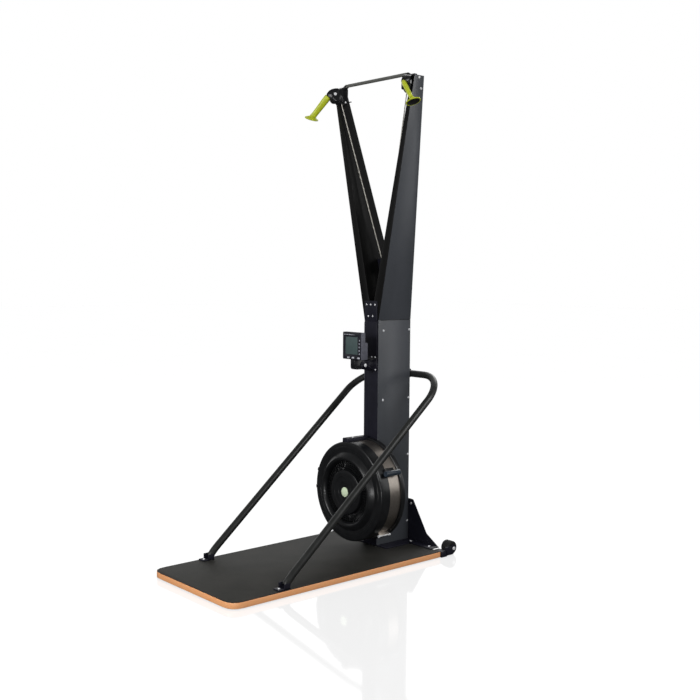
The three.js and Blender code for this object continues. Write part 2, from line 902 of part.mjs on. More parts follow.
function buildHousings() {
  const headPoints = headOutlineShares.map(([u, v]) => [u * headLength, v * headHeight]);
  const headShape = roundedOutline(headPoints, headCorner);
  const head = extruded(headShape, headWidth, cordFrame.ahead, cordFrame.up, alongAxis(headWidth / 2));
  const cheekFront = armTopFrontY - cheekReach;
  const cheekPoints = cheekOutlineShares.map(([u, v]) => (
    [cheekFront + u * cheekDepth, cheekBottom + v * cheekHeight]
  ));
  const cheekShape = roundedOutline(cheekPoints, cheekCorner);
  const cheek = sidePlate(cheekShape, cheekOffset, cheekOffset + cheekWidth);
  const sleevePoints = barEnd(overrun).slice(Math.round(sleeveStartShare * barBendSteps));
  const sleeve = tube(sleevePoints, barRadius + seatGap + sleeveWall, tubeSides);
  const socket = tube(barEnd(2 * seatGap), barRadius + seatGap, tubeSides);
  const body = cut(
    join(head, cheek, sleeve), armBlock(-seatGap, armBottom), pulleySpace(), cordSpace(), socket,
    ...boltSpaces(), ...mouthSpaces(),
  );
  addPair('pulley_housing', body, blackPlastic, pulleyCentre);
}

function pulleyBolt() {
  const half = headWidth / 2 + seatGap;
  const end = half + boltHeadThickness;
  const pin = rod(alongAxis(-end), alongAxis(end), pulleyBoltRadius);
  const heads = [-1, 1].map((side) => (
    rod(alongAxis(side * half), alongAxis(side * end), boltHeadRadius)
  ));
  return join(pin, ...heads);
}

function handle() {
  const profile = [];
  for (let i = 0; i <= handleDomeSteps; i += 1) {
    const angle = (Math.PI / 2) * (i / handleDomeSteps);
    profile.push([handleTopRadius * Math.sin(angle), -handleTopRadius * Math.cos(angle)]);
  }
  const length = handleLength - handleTopRadius;
  gripOutlineShares.forEach(([u, v]) => profile.push([u * handleTopRadius, v * length]));
  profile.push([0, length]);
  const grip = turned(profile, handleBall, handleWay, smallSides);
  const rim = flangeOutlineShares.map(([u, v]) => [u * flangeRadius, v * flangeHeight]);
  const flangeProfile = [[0, rim[0][1]], ...rim, [0, rim[rim.length - 1][1]]];
  const flangeCentre = handleTop.clone().addScaledVector(handleWay, handleLength);
  return join(grip, turned(flangeProfile, flangeCentre, flangeWay, roundSides / 2));
}

function buildPulleys() {
  const topProfile = pulleyProfile(
    pulleyBoltRadius + seatGap, pulleyCordRadius, pulleyRadius, pulleyWidth, pulleyLip,
  );
  const topPulley = turned(topProfile, pulleyCentre, cordFrame.axis, smallSides);
  addPair('top_pulley', topPulley, blackPlastic, pulleyCentre);
  addPair('pulley_bolt', pulleyBolt(), steel, pulleyCentre);
  addPair('handle', handle(), limePlastic, handleBall);
  const guideProfile = pulleyProfile(
    guidePinRadius + seatGap, guideCordRadius, guideRadius, guideWidth, pulleyLip,
  );
  const guidePulley = turned(guideProfile, guideCentre, Y, smallSides);
  addPair('guide_pulley', guidePulley, blackPlastic, guideCentre);
}

function buildGuideBracket() {
  const plateFront = guideY + guideWidth / 2 + guidePlateGap;
  const low = guideHeight - guidePlateHeight / 2;
  const high = guideHeight + guidePlateHeight / 2;
  const slope = armInnerTop / (armTop - crotchHeight);
  const lowHalf = (low - crotchHeight) * slope - seatGap;
  const highHalf = (high - crotchHeight) * slope - seatGap;
  const shape = outline([[-lowHalf, low], [lowHalf, low], [highHalf, high], [-highHalf, high]]);
  const pieces = [frontPlate(shape, plateFront, plateFront + guidePlateThickness)];
  const pulleyFront = guideY - guideWidth / 2 - seatGap;
  const headFront = pulleyFront - guideHeadThickness;
  for (const x of [-guideOffset, guideOffset]) {
    const start = vector(x, headFront, guideHeight);
    pieces.push(rod(start, vector(x, plateFront + overrun, guideHeight), guidePinRadius));
    pieces.push(rod(start, vector(x, pulleyFront, guideHeight), guideHeadRadius));
  }
  add('guide_bracket', join(...pieces), frontPaint, vector(0, plateFront, guideHeight));
}

// The drums stand on the axle, one behind the other, under the guides.
function drumPlace(side) {
  return vector(0, guideY + (side * drumSpacing) / 2, wheelHeight);
}

function buildCords() {
  const right = tube(cordPoints(1, drumPlace(1).y), cordRadius, cordSides);
  add('drive_cord_right', right, cordSkin, guideCentre);
  const left = tube(cordPoints(-1, drumPlace(-1).y), cordRadius, cordSides);
  const leftGuide = guideCentre.clone().setX(-guideOffset);
  add('drive_cord_left', mirrored(left), cordSkin, leftGuide);
}

function buildDrums() {
  const profile = pulleyProfile(axleRadius + seatGap, drumCordRadius, drumRadius, drumWidth, drumLip);
  for (const [name, side] of [['right', 1], ['left', -1]]) {
    const place = drumPlace(side);
    add(`cord_drum_${name}`, turned(profile, place, Y, smallSides), greyPlastic, place);
  }
}

// Flywheel housing

function dishFront() {
  const points = [[0, dishY]];
  for (const radius of dishGrooveRadii) {
    const half = dishGrooveWidth / 2;
    points.push([radius - half, dishY], [radius, dishY + dishGrooveDepth], [radius + half, dishY]);
  }
  return points;
}

function frontShell() {
  const rear = frontShellRearY;
  const grilleY = crestY + grilleSink;
  const flankY = crestY + flankSink;
  const rimY = crestY + rimSink;
  const wall = shellWall;
  const dishBack = dishY + wall;
  const bore = axleRadius + seatGap;
  const profile = [
    ...dishFront(), [dishRadius, dishY], [dishRadius + dishSlope, grilleY], [grilleRadius, grilleY],
    [crestInner, crestY], [crestOuter, crestY], [flankRadius, flankY], [rimRadius, rimY],
    [frontShellRadius - rimRound, rimY], [frontShellRadius, rimY + rimRound], [frontShellRadius, rear],
    [frontShellRadius - wall, rear], [frontShellRadius - wall, rimY + rimRound + wall / 2],
    [frontShellRadius - rimRound - wall / 2, rimY + wall], [flankRadius - wall / 2, rimY + wall],
    [crestOuter - wall / 2, crestY + wall], [crestInner + wall / 2, crestY + wall],
    [grilleRadius + wall / 2, grilleY + wall],
    [dishRadius, grilleY + wall], [dishRadius - wall, dishBack], [frontBossRadius, dishBack],
    [frontBossRadius, dishBack + frontBossDepth], [bore, dishBack + frontBossDepth], [bore, dishBack + wall],
    [0, dishBack + wall],
  ];
  const inner = dishRadius + dishSlope + grilleMargin;
  const outer = grilleRadius - grilleMargin;
  const half = grilleSlotWidth / 2;
  const slots = [];
  for (let i = 0; i < grilleSlots; i += 1) {
    const slot = box(inner, outer, grilleY - overrun, grilleY + wall + overrun, -half, half);
    slots.push(slot.rotateY((2 * Math.PI * i) / grilleSlots).translate(0, 0, wheelHeight));
  }
  return cut(aboutWheel(profile), ...slots);
}

function steelBand() {
  const inner = bandRadius - bandThickness;
  const ring = aboutWheel([
    [inner, bandFrontY], [bandRadius, bandFrontY], [bandRadius, bandRearY], [inner, bandRearY],
    [inner, bandFrontY],
  ]);
  const middle = bandFrontY + bandWidth / 2;
  const ears = [-1, 1].map((side) => {
    const height = (side * (tabGap + tabThickness)) / 2;
    const low = height - tabThickness / 2;
    const ear = box(
      inner, bandRadius + tabHeight, middle - tabWidth / 2, middle + tabWidth / 2, low, low + tabThickness,
    );
    return ear.rotateY(-radians(tabAngle)).translate(0, 0, wheelHeight);
  });
  const front = bandFrontY - overrun;
  const rear = bandRearY + overrun;
  const inside = aboutWheel([[0, front], [inner, front], [inner, rear], [0, rear]]);
  return cut(join(ring, ...ears), inside);
}

function rearShell() {
  const front = rearShellFrontY;
  const rear = columnFrontY - seatGap;
  const wall = rearShellWall;
  const inner = rearShellRadius - wall;
  const bore = axleRadius + seatGap;
  const lip = bandRadius - bandThickness - wall;
  return aboutWheel([
    [bore, rear], [bore, rear - rearBossDepth], [rearBossRadius, rear - rearBossDepth],
    [rearBossRadius, rear - wall], [inner, rear - wall], [inner, front + wall], [lip, front + wall],
    [lip, front], [rearShellRadius - rearShellRound / 2, front],
    [rearShellRadius, front + rearShellRound / 2], [rearShellRadius, rear - rearShellRound],
    [rearShellRadius - rearShellRound, rear], [bore, rear],
  ]);
}

function fanWheel() {
  const bore = axleRadius + seatGap;
  const rear = columnFrontY - seatGap - rearBossDepth - fanEndGap;
  const front = dishY + shellWall + frontBossDepth + fanEndGap;
  const hubRear = rear - fanSetback;
  const discRear = hubRear - fanHubDepth / 2;
  const discFront = discRear - fanDiscThickness;
  const body = aboutWheel([
    [bore, front], [fanSleeveRadius, front], [fanSleeveRadius, hubRear - fanHubDepth],
    [fanHubRadius, hubRear - fanHubDepth], [fanHubRadius, discFront], [fanRadius, discFront],
    [fanRadius, discRear], [fanHubRadius, discRear], [fanHubRadius, hubRear], [fanSleeveRadius, hubRear],
    [fanSleeveRadius, rear], [bore, rear], [bore, front],
  ], roundSides / 2);
  const half = fanBladeThickness / 2;
  const tip = fanRadius - fanBladeThickness;
  const blades = [];
  for (let i = 0; i < fanBlades; i += 1) {
    const bladeRear = discFront + fanDiscThickness / 2;
    const blade = box(fanBladeInner, tip, discFront - fanBladeDepth, bladeRear, -half, half);
    blades.push(blade.rotateY((2 * Math.PI * i) / fanBlades).translate(0, 0, wheelHeight));
  }
  return join(body, ...blades);
}

function buildFlywheel() {
  const flywheel = section(wheelCentre);
  const axleStart = wheelCentre.clone().setY(dishY + 2 * shellWall + seatGap);
  const axleEnd = wheelCentre.clone().setY(columnRearY - panelThickness - axleRearGap);
  const capRear = dishY - seatGap;
  const cap = aboutWheel([
    [0, capRear], [hubCapRadius, capRear], [hubCapRadius, capRear - hubCapThickness / 2],
    [hubCapRadius * hubCapEdgeShare, capRear - hubCapThickness], [0, capRear - hubCapThickness],
  ], smallSides);
  add('front_shell', frontShell(), blackPlastic, wheelCentre.clone().setY(crestY), flywheel);
  add('steel_band', steelBand(), steel, wheelCentre.clone().setY(bandFrontY), flywheel);
  add('rear_shell', rearShell(), blackPlastic, wheelCentre.clone().setY(rearShellFrontY), flywheel);
  add('fan_wheel', fanWheel(), blackPlastic, wheelCentre, flywheel);
  add('flywheel_axle', rod(axleStart, axleEnd, axleRadius), steel, wheelCentre, flywheel);
  add('hub_cap', cap, paleGreen, wheelCentre.clone().setY(capRear), flywheel);
}

function buildLug() {
  const left = lugShift - lugWidth / 2;
  const right = lugShift + lugWidth / 2;
  const shape = outline([
    [left, lugTop - lugDrop], [right, lugTop - lugDrop], [right, lugTop], [left + lugChamfer, lugTop],
    [left, lugTop - lugChamfer],
  ]);
  const room = aboutWheel([
    [0, frontY], [frontShellRadius + seatGap, frontY], [frontShellRadius + seatGap, bandRearY],
    [rearShellRadius + seatGap, bandRearY], [rearShellRadius + seatGap, columnRearY], [0, columnRearY],
  ]);
  const armShape = outline([
    [left, lugTop - lugDrop], [left + lugArmWidth, lugTop - lugDrop], [left + lugArmWidth, lugTop],
    [left + lugChamfer, lugTop], [left, lugTop - lugChamfer],
  ]);
  const head = frontPlate(shape, crestY + lugSetback, frontShellRearY);
  const arm = frontPlate(armShape, frontShellRearY - overrun, columnFrontY - seatGap);
  const bracket = cut(join(head, arm), room);
  add('shell_bracket', bracket, blackPlastic, vector(lugShift, columnFrontY, lugTop));
}

function buildDamper() {
  const angle = radians(damperAngle);
  const way = vector(Math.cos(angle), 0, Math.sin(angle));
  const centre = wheelCentre.clone().addScaledVector(way, damperTrack);
  const knobFront = centre.clone().setY(bandFrontY - damperOverhang);
  const knob = rod(knobFront, centre.clone().setY(bandRearY + damperTail), damperRadius);
  const span = radians(saddleSpan);
  const inner = frontShellRadius + saddleClearance;
  const outer = inner + saddleThickness;
  const saddleShape = new THREE.Shape();
  saddleShape.absarc(0, wheelHeight, outer, angle - span / 2, angle + span, false);
  saddleShape.absarc(0, wheelHeight, inner, angle + span, angle - span / 2, true);
  saddleShape.closePath();
  const saddle = frontPlate(saddleShape, bandFrontY + seatGap, bandRearY - seatGap);
  const middle = bandFrontY + bandWidth / 2;
  const foot = wheelCentre.clone().addScaledVector(way, inner + saddleThickness / 2).setY(middle);
  const neck = rod(foot, centre.clone().setY(middle), damperRadius * damperNeckShare);
  add('air_damper', join(knob, saddle, neck), bluePlastic, centre.clone().setY(middle));
}

// Rear brace and transport wheels

function buildBrace() {
  const top = braceTopWidth / 2;
  const shoulder = braceShoulderWidth / 2;
  const half = braceWidth / 2;
  const front = columnRearY + seatGap;
  const shape = roundedOutline([
    [-half, baseBottom], [half, baseBottom], [half, braceTip], [shoulder, braceShoulder],
    [top, braceTop, braceCorner], [-top, braceTop, braceCorner], [-shoulder, braceShoulder],
    [-half, braceTip],
  ], 0);
  const plate = frontPlate(shape, front, front + braceThickness);
  const footFront = baseRearY + seatGap;
  const foot = box(-half, half, footFront, front + overrun, baseBottom, baseBottom + braceFootThickness);
  add('rear_brace', join(plate, foot), frontPaint, vector(0, front, baseBottom));
}

function wheelBracket(centre) {
  const inner = transportWidth / 2 + bracketGap;
  const outer = inner + bracketThickness;
  const front = rearY + seatGap;
  const top = bracketBlockBottom + bracketBlockHeight;
  const noseRear = centre.y + bracketNose;
  const noseFront = centre.y - bracketNose;
  const shape = roundedOutline([
    [front, bracketBlockBottom, 0], [noseFront, bracketBlockBottom], [noseRear, centre.z - bracketNose],
    [noseRear, centre.z + bracketNose], [noseFront, centre.z + bracketNose],
    [front + bracketBlockDepth / 2, top], [front, top, 0],
  ], bracketCorner);
  const cheeks = [
    sidePlate(shape, transportOffset + inner, transportOffset + outer),
    sidePlate(shape, transportOffset - outer, transportOffset - inner),
  ];
  const left = transportOffset - outer;
  const right = transportOffset + outer;
  const block = box(left, right, front, front + bracketBlockDepth, bracketBlockBottom, top);
  const holeRadius = transportAxleRadius + seatGap;
  const hole = crossRod(left - overrun, right + overrun, centre.y, centre.z, holeRadius);
  return cut(join(block, ...cheeks), hole);
}

function buildTransport() {
  const centre = vector(transportOffset, rearY + transportReach, transportRadius + transportClearance);
  const half = transportWidth / 2;
  const bore = transportAxleRadius + seatGap;
  const wheel = turned([
    [bore, -half], [transportRadius - transportRound, -half], [transportRadius, -half + transportRound],
    [transportRadius, half - transportRound], [transportRadius - transportRound, half], [bore, half],
    [bore, -half],
  ], centre, X, roundSides / 2);
  addPair('transport_wheel', wheel, rubber, centre);
  addPair('wheel_bracket', wheelBracket(centre), frontPaint, centre);
  const outer = half + bracketGap + bracketThickness;
  const head = transportOffset + outer + seatGap;
  const end = head + axleHeadThickness;
  const axle = crossRod(transportOffset - outer, end, centre.y, centre.z, transportAxleRadius);
  const cap = crossRod(head, end, centre.y, centre.z, axleHeadRadius);
  addPair('wheel_axle', join(axle, cap), steel, centre);
}

// Hoop

const hoopHalf = hoopWidth / 2;
const hoopRearY = columnRearY + hoopRearReach;

function onHoopSide(height) {
  const rise = Math.tan(radians(hoopSlope));
  return vector(hoopHalf, columnRearY + hoopCornerReach - (hoopHeight - height) / rise, height);
}

function hoopPoints() {
  const way = vector(0, Math.cos(radians(hoopSlope)), Math.sin(radians(hoopSlope)));
  const sideTop = onHoopSide(hoopHeight).addScaledVector(way, -hoopBend);
  const bendEnd = vector(hoopHalf - hoopBend, hoopRearY, hoopHeight);
  const top = new THREE.CubicBezierCurve3(
    sideTop, sideTop.clone().addScaledVector(way, hoopBendPull),
    bendEnd.clone().addScaledVector(X, hoopBendPull), bendEnd,
  );
  const sideLow = onHoopSide(hoopEndHeight + hoopEndBend);
  const kink = onHoopSide(hoopEndHeight + hoopEndKink);
  const end = vector(hoopHalf, frontY + hoopEndReach, hoopEndHeight);
  const low = new THREE.QuadraticBezierCurve3(end, kink, sideLow);
  return [...curvePoints(low, hoopEndSteps), ...curvePoints(top, hoopBendSteps)];
}

function hoopClamp() {
  const front = columnRearY + seatGap;
  const rear = front + clampDepth;
  const low = hoopHeight - clampHeight / 2;
  const high = low + clampHeight;
  const corners = [[front, low, 0], [rear, low], [rear, high], [front, high, 0]];
  const shape = roundedOutline(corners, clampCorner);
  const bore = crossRod(-clampWidth, clampWidth, hoopRearY, hoopHeight, hoopRadius + 2 * seatGap);
  return cut(sidePlate(shape, -clampWidth / 2, clampWidth / 2), bore);
}

function hoopFoot() {
  const front = frontY + hoopFootFront;
  const inner = hoopHalf - hoopFootWidth / 2;
  const outer = hoopHalf + hoopFootWidth / 2;
  const plateTop = baseBottom + hoopFootThickness;
  const plate = box(inner, outer, front, front + hoopFootLength, baseBottom, plateTop);
  const shape = outline(hoopCheekOutlineShares.map(([u, v]) => (
    [front + u * hoopFootLength, baseBottom + v * hoopCheekHeight]
  )));
  const innerCheek = sidePlate(shape, inner, inner + hoopCheekThickness);
  const outerCheek = sidePlate(shape, outer - hoopCheekThickness, outer);
  return join(plate, innerCheek, outerCheek);
}

function buildHoop() {
  const right = hoopPoints();
  const left = right.map((point) => vector(-point.x, point.y, point.z)).reverse();
  const hoop = section(vector(0, hoopRearY, hoopHeight));
  const pipe = tube([...right, ...left], hoopRadius, tubeSides, hoopRadius - hoopWall);
  add('hoop_tube', pipe, tubePaint, hoop.position, hoop);
  add('hoop_clamp', hoopClamp(), frontPaint, hoop.position, hoop);
  const footPlace = vector(hoopHalf, frontY + hoopFootFront, baseBottom);
  addPair('hoop_foot', hoopFoot(), frontPaint, footPlace);
}

// Monitor

const bezelRearY = monitorFrontY + bezelThickness;
const flangeFrontY = bezelRearY + seatGap;

function roundPlate(x, z, margin, y0, y1) {
  return rod(vector(x, y0, z), vector(x, y1, z), menuButtonRadius + margin, smallSides / 2);
}

function ovalPlate(x, z, margin, y0, y1) {
  const half = keyWidth / 2 + margin;
  const rise = keyHeight / 2 + margin;
  return frontPlate(rectangle(x - half, x + half, z - rise, z + rise, rise), y0, y1);
}

// Each button's name, form and place on the monitor's front.
function buttonPlaces() {
  const places = Object.entries(keyOffsets).map(([name, x]) => [`key_${name}`, ovalPlate, x, keyLevel]);
  for (let i = 0; i < menuButtonCount; i += 1) {
    const height = menuButtonTop - i * menuButtonPitch;
    places.push([`menu_button_${i + 1}`, roundPlate, menuButtonOffset, height]);
  }
  return places;
}

function buildButtons(monitor) {
  for (const [name, plate, x, z] of buttonPlaces()) {
    const flangeRearY = flangeFrontY + buttonFlangeThickness;
    const stem = plate(x, z, 0, monitorFrontY - buttonProud, flangeRearY);
    const flange = plate(x, z, buttonFlange, flangeFrontY, flangeRearY);
    add(name, join(stem, flange), buttonSkin, vector(x, monitorFrontY, z), monitor);
  }
}

function lensBox(margin, y0, y1) {
  const left = lensShift - lensWidth / 2 - margin;
  const low = monitorBottom + lensLift - margin;
  return box(left, left + lensWidth + 2 * margin, y0, y1, low, low + lensHeight + 2 * margin);
}

function monitorFront() {
  const half = monitorWidth / 2;
  const top = monitorBottom + monitorHeight;
  const lensRear = monitorFrontY + lensSink + lensThickness;
  const holes = buttonPlaces().map(([, plate, x, z]) => (
    plate(x, z, seatGap, monitorFrontY - overrun, bezelRearY + overrun)
  ));
  const shape = rectangle(-half, half, monitorBottom, top, monitorCorner);
  const window = lensBox(seatGap, monitorFrontY - overrun, lensRear + seatGap);
  return cut(frontPlate(shape, monitorFrontY, bezelRearY), window, ...holes);
}

function monitorBack() {
  const half = monitorWidth / 2;
  const top = monitorBottom + monitorHeight;
  const front = bezelRearY + seatGap;
  const rear = front + caseDepth;
  const bulgeHalf = half - bulgeInset;
  const bulgeRear = front + bulgeDepth;
  const bulgeTop = monitorBottom + bulgeHeight;
  const upper = frontPlate(rectangle(-half, half, monitorBottom, top, monitorCorner), front, rear);
  const bulgeShape = roundedOutline([
    [front, monitorBottom, 0], [bulgeRear, monitorBottom], [bulgeRear, bulgeTop], [front, bulgeTop, 0],
  ], bulgeCorner);
  const upperRoom = box(
    -half + caseWall, half - caseWall, front - overrun, rear - caseWall,
    monitorBottom + caseWall, top - caseWall,
  );
  const bulgeRoom = box(
    -bulgeHalf + caseWall, bulgeHalf - caseWall, front - overrun, bulgeRear - caseWall,
    monitorBottom + caseWall, bulgeTop - caseWall,
  );
  return cut(join(upper, sidePlate(bulgeShape, -bulgeHalf, bulgeHalf)), upperRoom, bulgeRoom);
}

function monitorCradle() {
  const front = monitorFrontY + cradleSetback;
  const top = monitorBottom - seatGap;
  const shape = roundedOutline([
    [front, cradleBottom, cradleCorner], [pivotY + pivotBossRadius, cradleBottom],
    [pivotY + pivotBossRadius, pivotHeight + pivotBossRadius], [pivotY, pivotHeight + pivotBossRadius, 0],
    [pivotY - pivotBossRadius, top, 0], [front, top, 0],
  ], pivotBossRadius);
  const half = cradleWidth / 2;
  const bore = crossRod(-cradleWidth, cradleWidth, pivotY, pivotHeight, pivotRadius + seatGap);
  return cut(sidePlate(shape, -half, half), bore);
}

function buildMonitor() {
  const monitor = section(vector(0, pivotY, pivotHeight));
  const lensFront = monitorFrontY + lensSink;
  const lens = lensBox(0, lensFront, lensFront + lensThickness);
  add('monitor_front', monitorFront(), casePlastic, vector(0, monitorFrontY, monitorBottom), monitor);
  add('monitor_back', monitorBack(), greyPlastic, vector(0, bezelRearY, monitorBottom), monitor);
  add('monitor_lens', lens, screen, vector(lensShift, lensFront, monitorBottom), monitor);
  add('monitor_cradle', monitorCradle(), blackPlastic, monitor.position, monitor);
  buildButtons(monitor);
}

function buildMonitorBracket() {
  const inner = cradleWidth / 2 + seatGap;
  const outer = inner + forkThickness;
  const rear = columnFrontY - seatGap;
  const plateFront = rear - forkPlateThickness;
  const plateHalf = forkPlateWidth / 2;
  const plateTop = forkPlateBottom + forkPlateHeight;
  const plateShape = rectangle(-plateHalf, plateHalf, forkPlateBottom, plateTop, forkCorner);
  const plate = frontPlate(plateShape, plateFront, rear);
  const front = pivotY - forkHeight / 2;
  const low = pivotHeight - forkHeight / 2;
  const high = pivotHeight + forkHeight / 2;
  const cheekShape = roundedOutline([
    [front, low], [plateFront + overrun, low, 0], [plateFront + overrun, high, 0], [front, high],
  ], forkHeight / 2);
  const cheeks = [sidePlate(cheekShape, inner, outer), sidePlate(cheekShape, -outer, -inner)];
  const pin = crossRod(-outer, outer + knobThickness, pivotY, pivotHeight, pivotRadius);
  const knob = crossRod(outer, outer + knobThickness, pivotY, pivotHeight, knobRadius);
  const bracket = join(plate, ...cheeks, pin, knob);
  add('monitor_bracket', bracket, frontPaint, vector(0, pivotY, pivotHeight));
}

buildPlatform();
buildColumn();
buildFrontPlates();
buildArms();
buildBar();
buildHousings();
buildPulleys();
buildGuideBracket();
buildCords();
buildDrums();
buildFlywheel();
buildLug();
buildDamper();
buildBrace();
buildTransport();
buildHoop();
buildMonitor();
buildMonitorBracket();

export default machine;
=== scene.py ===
# %% [markdown]
# # A standing ski trainer
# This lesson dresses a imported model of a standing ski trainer: a platform, a column with two
# spread arms, cord pulleys with handles, a fan flywheel, a monitor and a hoop of steel tube.
# Lengths are in metres. +X is to the user's right, +Y runs towards the column and +Z is up.

# %% Start
import json
import math

import bpy
from mathutils import Matrix, Vector


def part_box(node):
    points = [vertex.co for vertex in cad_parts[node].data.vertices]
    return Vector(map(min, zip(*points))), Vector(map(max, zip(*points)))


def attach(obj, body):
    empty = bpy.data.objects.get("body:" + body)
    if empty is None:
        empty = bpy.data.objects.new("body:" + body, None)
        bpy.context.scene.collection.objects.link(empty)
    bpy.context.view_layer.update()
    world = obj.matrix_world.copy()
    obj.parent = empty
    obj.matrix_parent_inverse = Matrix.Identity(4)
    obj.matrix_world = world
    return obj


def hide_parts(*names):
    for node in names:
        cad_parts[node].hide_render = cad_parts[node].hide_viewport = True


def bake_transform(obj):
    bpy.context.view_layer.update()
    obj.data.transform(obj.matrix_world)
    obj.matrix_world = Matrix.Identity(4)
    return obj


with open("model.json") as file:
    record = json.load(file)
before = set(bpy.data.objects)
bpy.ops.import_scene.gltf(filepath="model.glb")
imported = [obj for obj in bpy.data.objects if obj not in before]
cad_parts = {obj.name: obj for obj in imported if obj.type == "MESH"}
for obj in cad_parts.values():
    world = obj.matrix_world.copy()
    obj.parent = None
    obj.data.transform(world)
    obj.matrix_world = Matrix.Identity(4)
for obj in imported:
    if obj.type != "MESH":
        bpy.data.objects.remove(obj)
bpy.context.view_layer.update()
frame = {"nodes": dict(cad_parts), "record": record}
nodes = frame["nodes"]
body_of_node = {
    node: body
    for body, members in frame["record"]["behaviour"]["bodies"].items()
    for node in members
}

# %% [markdown]
# ## Camera
# The camera stands where the photographer stood: in front of the machine, to the user's right,
# at chest height, looking slightly down. A long lens keeps the tall column nearly upright.

# %% Camera
CAMERA_PLACE = Vector((3.44879, -2.74081, 1.30515))
CAMERA_TURN = math.radians(48.82)
CAMERA_PITCH = math.radians(4.47)
CAMERA_ROLL = math.radians(0.39)
CAMERA_LENS = 52.29
SENSOR = 36

ahead = Vector((
    -math.sin(CAMERA_TURN) * math.cos(CAMERA_PITCH),
    math.cos(CAMERA_TURN) * math.cos(CAMERA_PITCH),
    -math.sin(CAMERA_PITCH),
))
level = Vector((math.cos(CAMERA_TURN), math.sin(CAMERA_TURN), 0))
above = level.cross(ahead)
right = math.cos(CAMERA_ROLL) * level + math.sin(CAMERA_ROLL) * above
above = -math.sin(CAMERA_ROLL) * level + math.cos(CAMERA_ROLL) * above

bpy.ops.object.camera_add()
camera = bpy.context.object
camera_turn = Matrix((right, above, -ahead)).transposed().to_4x4()
camera.matrix_world = Matrix.Translation(CAMERA_PLACE) @ camera_turn
camera.data.lens = CAMERA_LENS
camera.data.sensor_width = SENSOR
bpy.context.scene.camera = camera
bpy.context.scene.view_settings.view_transform = "Standard"
print(f"camera with a {CAMERA_LENS} mm lens, {CAMERA_PLACE.z:.2f} m up")


# %% [markdown]
# ## Colours and nodes
# Colours are written as sRGB hex values, as a colour picker shows them, and turned to linear
# light here. One function adds any shader node, sets its inputs and links it.

# %% Helpers for materials
def linear(hex_colour):
    """An sRGB hex colour as linear RGBA."""
    shares = [int(hex_colour[i : i + 2], 16) / 255 for i in (1, 3, 5)]
    return [s / 12.92 if s <= 0.04045 else ((s + 0.055) / 1.055) ** 2.4 for s in shares] + [1]


def add_node(tree, kind, settings=None, **values):
    """Adds a node. Settings are its own properties; values are its inputs, as numbers or sockets."""
    node = tree.nodes.new(f"ShaderNode{kind}")
    for name, value in (settings or {}).items():
        setattr(node, name, value)
    for name, value in values.items():
        socket = node.inputs[int(name[1:])] if name[1:].isdigit() else node.inputs[name.replace("_", " ")]
        if isinstance(value, bpy.types.NodeSocket):
            tree.links.new(value, socket)
        else:
            socket.default_value = value
    return node


def new_material(name, colour, roughness, metallic=0.0, **shader_values):
    """A material with one shader, whose plain values are set on the shader's own sockets."""
    material = bpy.data.materials.new(name)
    material.use_nodes = True
    shader = material.node_tree.nodes["Principled BSDF"]
    shader.inputs["Base Color"].default_value = linear(colour)
    shader.inputs["Roughness"].default_value = roughness
    shader.inputs["Metallic"].default_value = metallic
    for socket, value in shader_values.items():
        shader.inputs[socket.replace("_", " ")].default_value = value
    return material


def to_shader(tree, socket, name):
    """Links a socket to an input of the tree's shader."""
    tree.links.new(socket, tree.nodes["Principled BSDF"].inputs[name])


def object_place(tree, stretch=(1, 1, 1)):
    """A place on the piece in its own metres, stretched for grain that runs one way."""
    place = add_node(tree, "TexCoord").outputs["Object"]
    return add_node(tree, "Mapping", Vector=place, Scale=stretch).outputs["Vector"]


def mottle(material, dark, light, size, stretch=(1, 1, 1)):
    """Lets the colour drift between two shades, over patches of a real size in metres."""
    tree = material.node_tree
    noise = add_node(tree, "TexNoise", Vector=object_place(tree, stretch), Scale=1 / size, Detail=4.0)
    ramp = add_node(tree, "ValToRGB", Fac=noise.outputs["Fac"])
    for element, position, shade in zip(ramp.color_ramp.elements, (0.35, 0.65), (dark, light)):
        element.position = position
        element.color = linear(shade)
    to_shader(tree, ramp.outputs["Color"], "Base Color")
    return ramp.outputs["Color"]


def grain(material, size, depth, rough_range, stretch=(1, 1, 1)):
    """Raises a fine random grain, and lets the roughness vary with it."""
    tree = material.node_tree
    noise = add_node(tree, "TexNoise", Vector=object_place(tree, stretch), Scale=1 / size, Detail=2.0)
    bump = add_node(tree, "Bump", Height=noise.outputs["Fac"], Distance=depth, Strength=0.6)
    to_shader(tree, bump.outputs["Normal"], "Normal")
    low, high = rough_range
    spread = add_node(tree, "MapRange", Value=noise.outputs["Fac"], To_Min=low, To_Max=high)
    to_shader(tree, spread.outputs["Result"], "Roughness")


# %% [markdown]
# ## Painted sheet and tube
# The column and arms are folded aluminium sheet in a dark satin powder coat. Powder coat cures
# to a fine orange peel, here 3 mm across, coarser than the real one so that it shows. The sides
# are a shade lighter than the narrow fronts and the insides of the arms, and one finish on the
# arms chooses between the two by the way a face points. The hoop is steel tube in a glossier black.

# %% Paints
PEEL, PEEL_DEPTH = 0.003, 0.00004
PANEL_PATCH, PANEL_STRETCH = 0.22, (1, 1, 0.35)

# Satin powder coat hardly mirrors, so the folds stay blue-black and only their edges shine.
satin_powder_coat = new_material("satin black powder coat", "#1C1C26", 0.42, Specular_IOR_Level=0.25)
mottle(satin_powder_coat, "#191923", "#1F1F2A", 0.05)
grain(satin_powder_coat, PEEL, PEEL_DEPTH, (0.38, 0.5))

# The same coat in grey on wide panels, where a lamp's soft patch slides down the sheet.
grey_powder_coat = new_material("dark grey powder coat on folded sheet", "#46494E", 0.36)
mottle(grey_powder_coat, "#414448", "#4B4E54", PANEL_PATCH, PANEL_STRETCH)
grain(grey_powder_coat, PEEL, PEEL_DEPTH, (0.32, 0.42))

